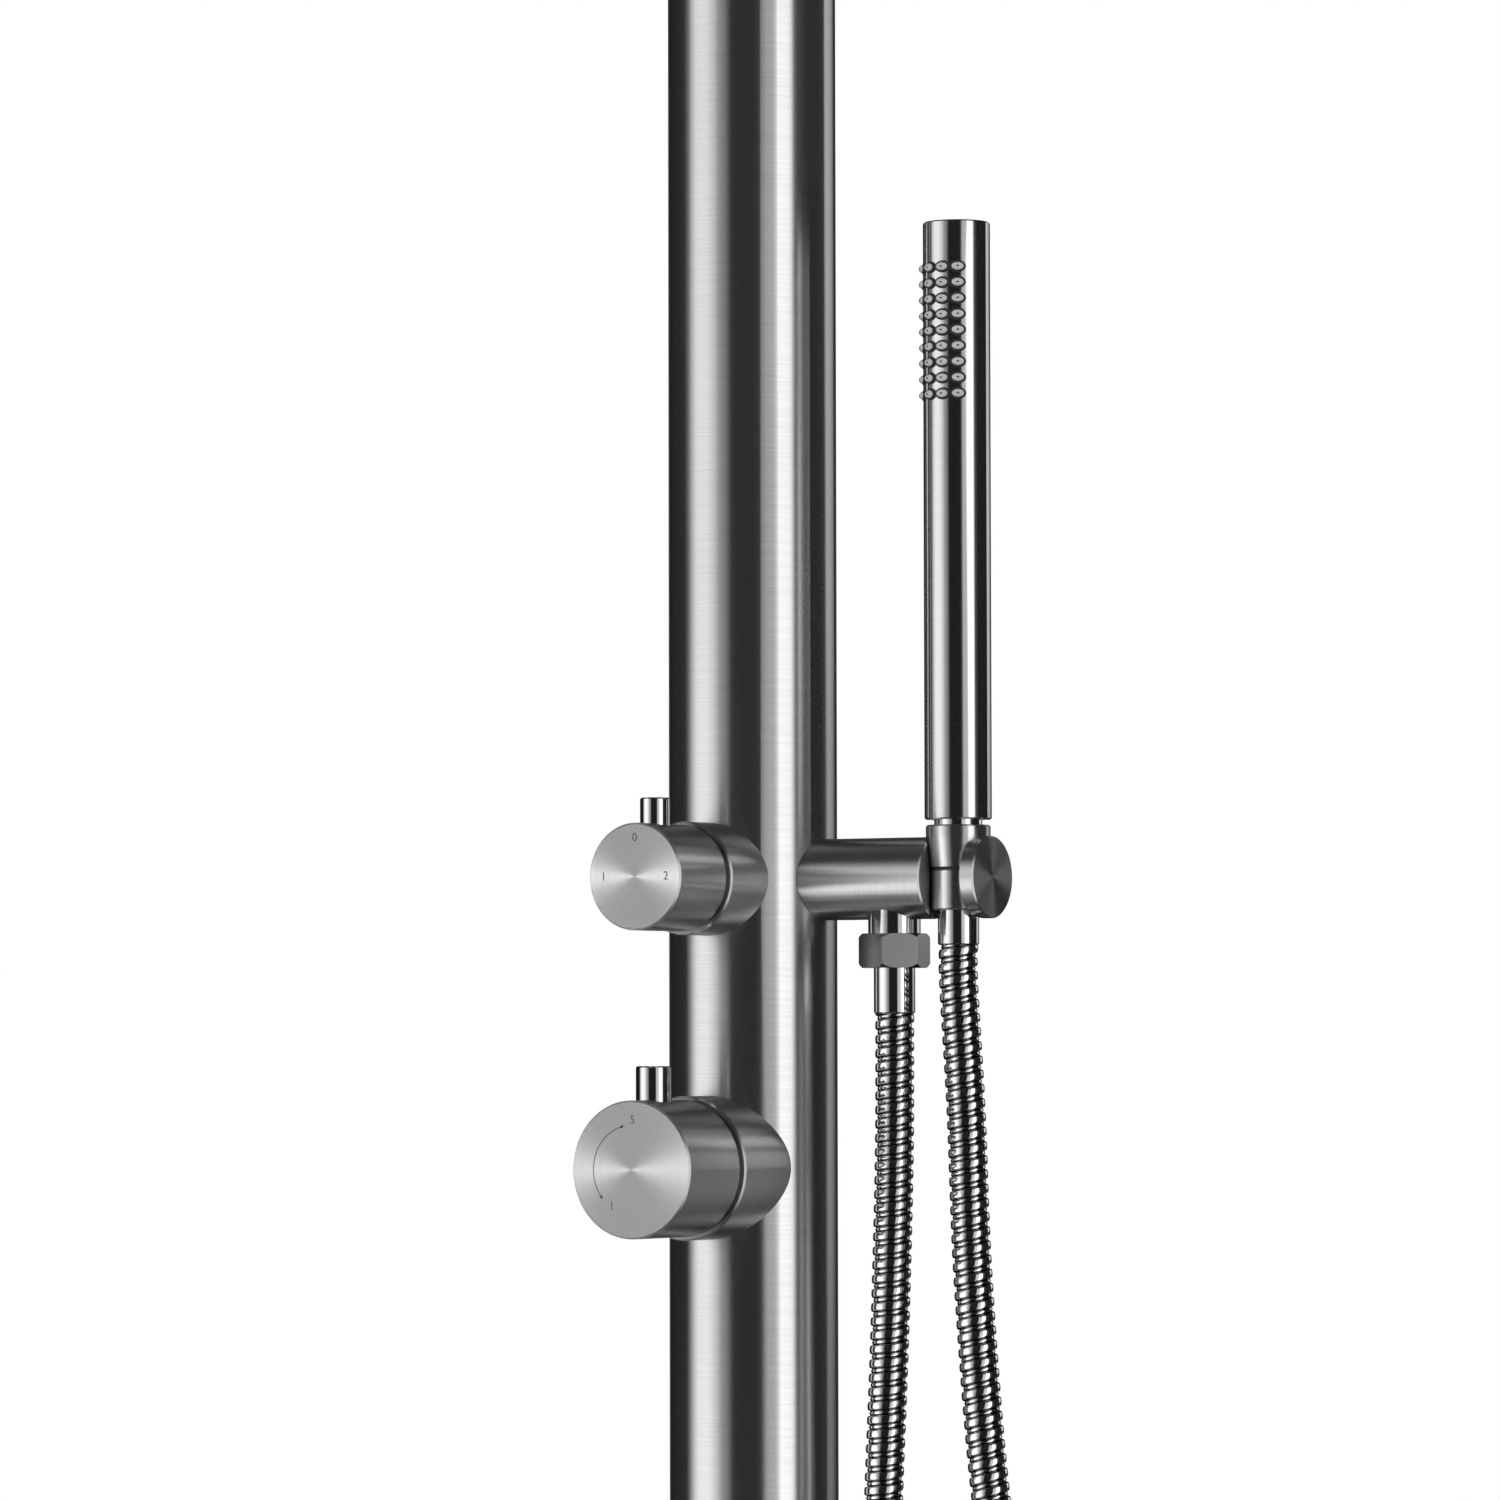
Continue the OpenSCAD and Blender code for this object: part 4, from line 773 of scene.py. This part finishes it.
postSteel = {
    "metal": 0.98,
    "edge": 0.10,          # how much a grazing view keeps of the metal's brightness
    "roughness": 0.26, "stretch": 0.9, "turn": 0.25,
    "fineness": 1500.0, "drift": 30.0, "lineDetail": 3.0, "lineRoughness": 0.6, "lineTone": 0.05,
    "cloudScale": 14.0, "cloudDetail": 2.0, "cloudTone": 0.02,
    "bump": 0.15, "bumpHeight": 0.00002, "colour": (0.66, 0.66, 0.66),
}
# the turned faces across the axis are darkened by painted shade
turnedSteel = dict(postSteel, roughness=0.28, faceRoughness=0.36, paintedFaceShade=0.50, stretch=0.97,
                   fineness=2500.0, drift=20.0, lineTone=0.06, colour=(0.77, 0.77, 0.77))
# the knobs' dial faces are darkened further by painted shade, leaving their bright parts to the
# dial lamp
knobSteel = dict(turnedSteel, paintedFaceShade=0.255)
polishedSteel = dict(postSteel, metal=1.0, roughness=0.07, stretch=0.0, lineTone=0.02, bump=0.03,
                     colour=(0.88, 0.88, 0.88))
nutSteel = dict(polishedSteel, roughness=0.16, colour=(0.50, 0.50, 0.50))
wandSteel = dict(postSteel, metal=1.0, roughness=0.17, stretch=0.8, lineTone=0.03, bump=0.08,
                 fineness=2500.0, colour=(0.72, 0.72, 0.72))
# the hose's steel is darkened in its grooves by painted shade from the mesh's "tone" attribute
hoseSteel = dict(polishedSteel, roughness=0.08, shadeAttribute="tone", colour=(0.92, 0.92, 0.92))
dullSteel = dict(postSteel, roughness=0.45, stretch=0.3, lineTone=0.08, colour=(0.5, 0.5, 0.5))
etchedSteel = dict(postSteel, metal=0.2, roughness=0.5, stretch=0.0, colour=(0.10, 0.10, 0.10))
brassMetal = dict(postSteel, roughness=0.35, stretch=0.2, lineTone=0.05,
                  colour=(0.72, 0.55, 0.28))

# points on the axes of what is turned, in millimetres
postAxis, outletAxis = (0, 0, 0), (outletX, 0, 1060)
mixerAxis, diverterAxis = (0, 0, mixerHeight), (0, 0, diverterHeight)
mixerPinAxis, diverterPinAxis = (0, -67.1, mixerHeight), (0, -65.9, diverterHeight)
overheadAxis, headAxis = (0, 0, 2085), (0, -330, 2042)

# node: finish, axis, a point on it
nodeFinish = {
    "base_plate": ("dullSteel", "Z", postAxis),
    "base_spigot": ("dullSteel", "Z", postAxis),
    "base_screws": ("dullSteel", "Z", postAxis),
    "base_cover": ("turnedSteel", "Z", postAxis),
    "cover_seal": ("blackRubber",),
    "hot_inlet": ("brassMetal", "Z", postAxis),
    "cold_inlet": ("brassMetal", "Z", postAxis),
    "hot_supply_pipe": ("dullSteel", "Z", postAxis),
    "cold_supply_pipe": ("dullSteel", "Z", postAxis),
    "post_tube": ("postSteel", "Z", postAxis),
    "post_cap": ("turnedSteel", "Z", postAxis),
    "cap_seal": ("blackRubber",),
    "mixer_body": ("brassMetal", "Y", mixerAxis),
    "mixer_sleeve": ("turnedSteel", "Y", mixerAxis),
    "mixer_cartridge": ("whitePlastic",),
    "mixer_cartridge_nut": ("brassMetal", "Y", mixerAxis),
    "mixer_spindle": ("brassMetal", "Y", mixerAxis),
    "mixer_knob": ("knobSteel", "Y", mixerAxis),
    "mixer_pin": ("polishedSteel", "Z", mixerPinAxis),
    "mixer_knob_screw": ("dullSteel", "Z", mixerPinAxis),
    "link_pipe": ("dullSteel", "Z", postAxis),
    "diverter_body": ("brassMetal", "Y", diverterAxis),
    "diverter_sleeve": ("turnedSteel", "Y", diverterAxis),
    "diverter_cartridge": ("whitePlastic",),
    "diverter_cartridge_nut": ("brassMetal", "Y", diverterAxis),
    "diverter_spindle": ("brassMetal", "Y", diverterAxis),
    "diverter_knob": ("knobSteel", "Y", diverterAxis),
    "diverter_pin": ("polishedSteel", "Z", diverterPinAxis),
    "diverter_knob_screw": ("dullSteel", "Z", diverterPinAxis),
    "riser_pipe": ("dullSteel", "Z", postAxis),
    "riser_elbow": ("brassMetal", "Z", postAxis),
    "overhead_nipple": ("brassMetal", "Y", overheadAxis),
    "overhead_arm": ("turnedSteel", "Y", overheadAxis),
    "head_stub": ("turnedSteel", "Z", headAxis),
    "head_ball": ("polishedSteel", "Z", headAxis),
    "ball_liner": ("whitePlastic",),
    "ball_nut": ("turnedSteel", "Z", headAxis),
    "rain_head_cover": ("turnedSteel", "Z", headAxis),
    "rain_head_plate": ("turnedSteel", "Z", headAxis),
    "rain_head_nozzles": ("greySilicone",),
    "side_nipple": ("brassMetal", "X", diverterAxis),
    "side_arm": ("turnedSteel", "X", diverterAxis),
    "outlet_stub": ("polishedSteel", "Z", outletAxis),
    "check_valve": ("whitePlastic",),
    "hose_nut": ("nutSteel", "Z", outletAxis),
    "hose_washer": ("blackRubber",),
    "lower_ferrule": ("polishedSteel", "Z", outletAxis),
    "upper_ferrule": ("polishedSteel", "Z", (holderX, 0, 1080)),
    "swivel_sleeve": ("turnedSteel", "Z", (holderX, 0, 1090)),
    "swivel_ring": ("blackRubber",),
    "cone_nut": ("turnedSteel", "Z", (holderX, 0, 1110)),
    "cone_washer": ("blackRubber",),
    "wand_neck": ("polishedSteel", "Z", (holderX, 0, 1120)),
    "wand_tube": ("wandSteel", "Z", (holderX, 0, 1200)),
    "wand_core": ("whitePlastic",),
    "wand_nozzles": ("greySilicone",),
    "wand_cap": ("wandSteel", "Z", (holderX, 0, 1331)),
}
finishes = {
    "postSteel": postSteel, "turnedSteel": turnedSteel, "polishedSteel": polishedSteel,
    "wandSteel": wandSteel, "nutSteel": nutSteel, "knobSteel": knobSteel,
    "dullSteel": dullSteel, "brassMetal": brassMetal,
    "blackRubber": blackRubber, "whitePlastic": whitePlastic, "greySilicone": greySilicone,
}


def dressNodes():
    made = {}
    for name, finish in nodeFinish.items():
        if finish not in made:
            look = finishes[finish[0]]
            label = finish[0] + str(len(made))
            made[finish] = (makeMoulded(label, look) if len(finish) == 1
                            else makeSteel(label, finish[1], finish[2], look))
        mesh = nodes[name].data
        for index in range(len(mesh.materials)):
            mesh.materials[index] = made[finish]
        if not mesh.materials:
            mesh.materials.append(made[finish])


edgeLook = {"width": 1.0, "segments": 3, "fromAngle": 40, "weld": 0.00001}


# Soft edges that catch the light, as on the real nut
def softenEdges(piece):
    weld = piece.modifiers.new("joined", "WELD")
    weld.merge_threshold = edgeLook["weld"]
    bevel = piece.modifiers.new("softEdges", "BEVEL")
    bevel.width = mm * edgeLook["width"]
    bevel.segments = edgeLook["segments"]
    bevel.limit_method = "ANGLE"
    bevel.angle_limit = math.radians(edgeLook["fromAngle"])
    piece.modifiers.new("evenNormals", "WEIGHTED_NORMAL")


print("materials")
dressNodes()
softenEdges(nodes["hose_nut"])
dress(outletSaddle, makeSteel("saddleSteel", "Z", outletAxis, polishedSteel))
dress(hose, makeSteel("hoseSteel", "Z", (outletX, 0, 1000), hoseSteel))
for name, axis in (("mixer", mixerAxis), ("diverter", diverterAxis)):
    dress(dialMarks[name], makeSteel(name + "Etched", "Y", axis, etchedSteel))
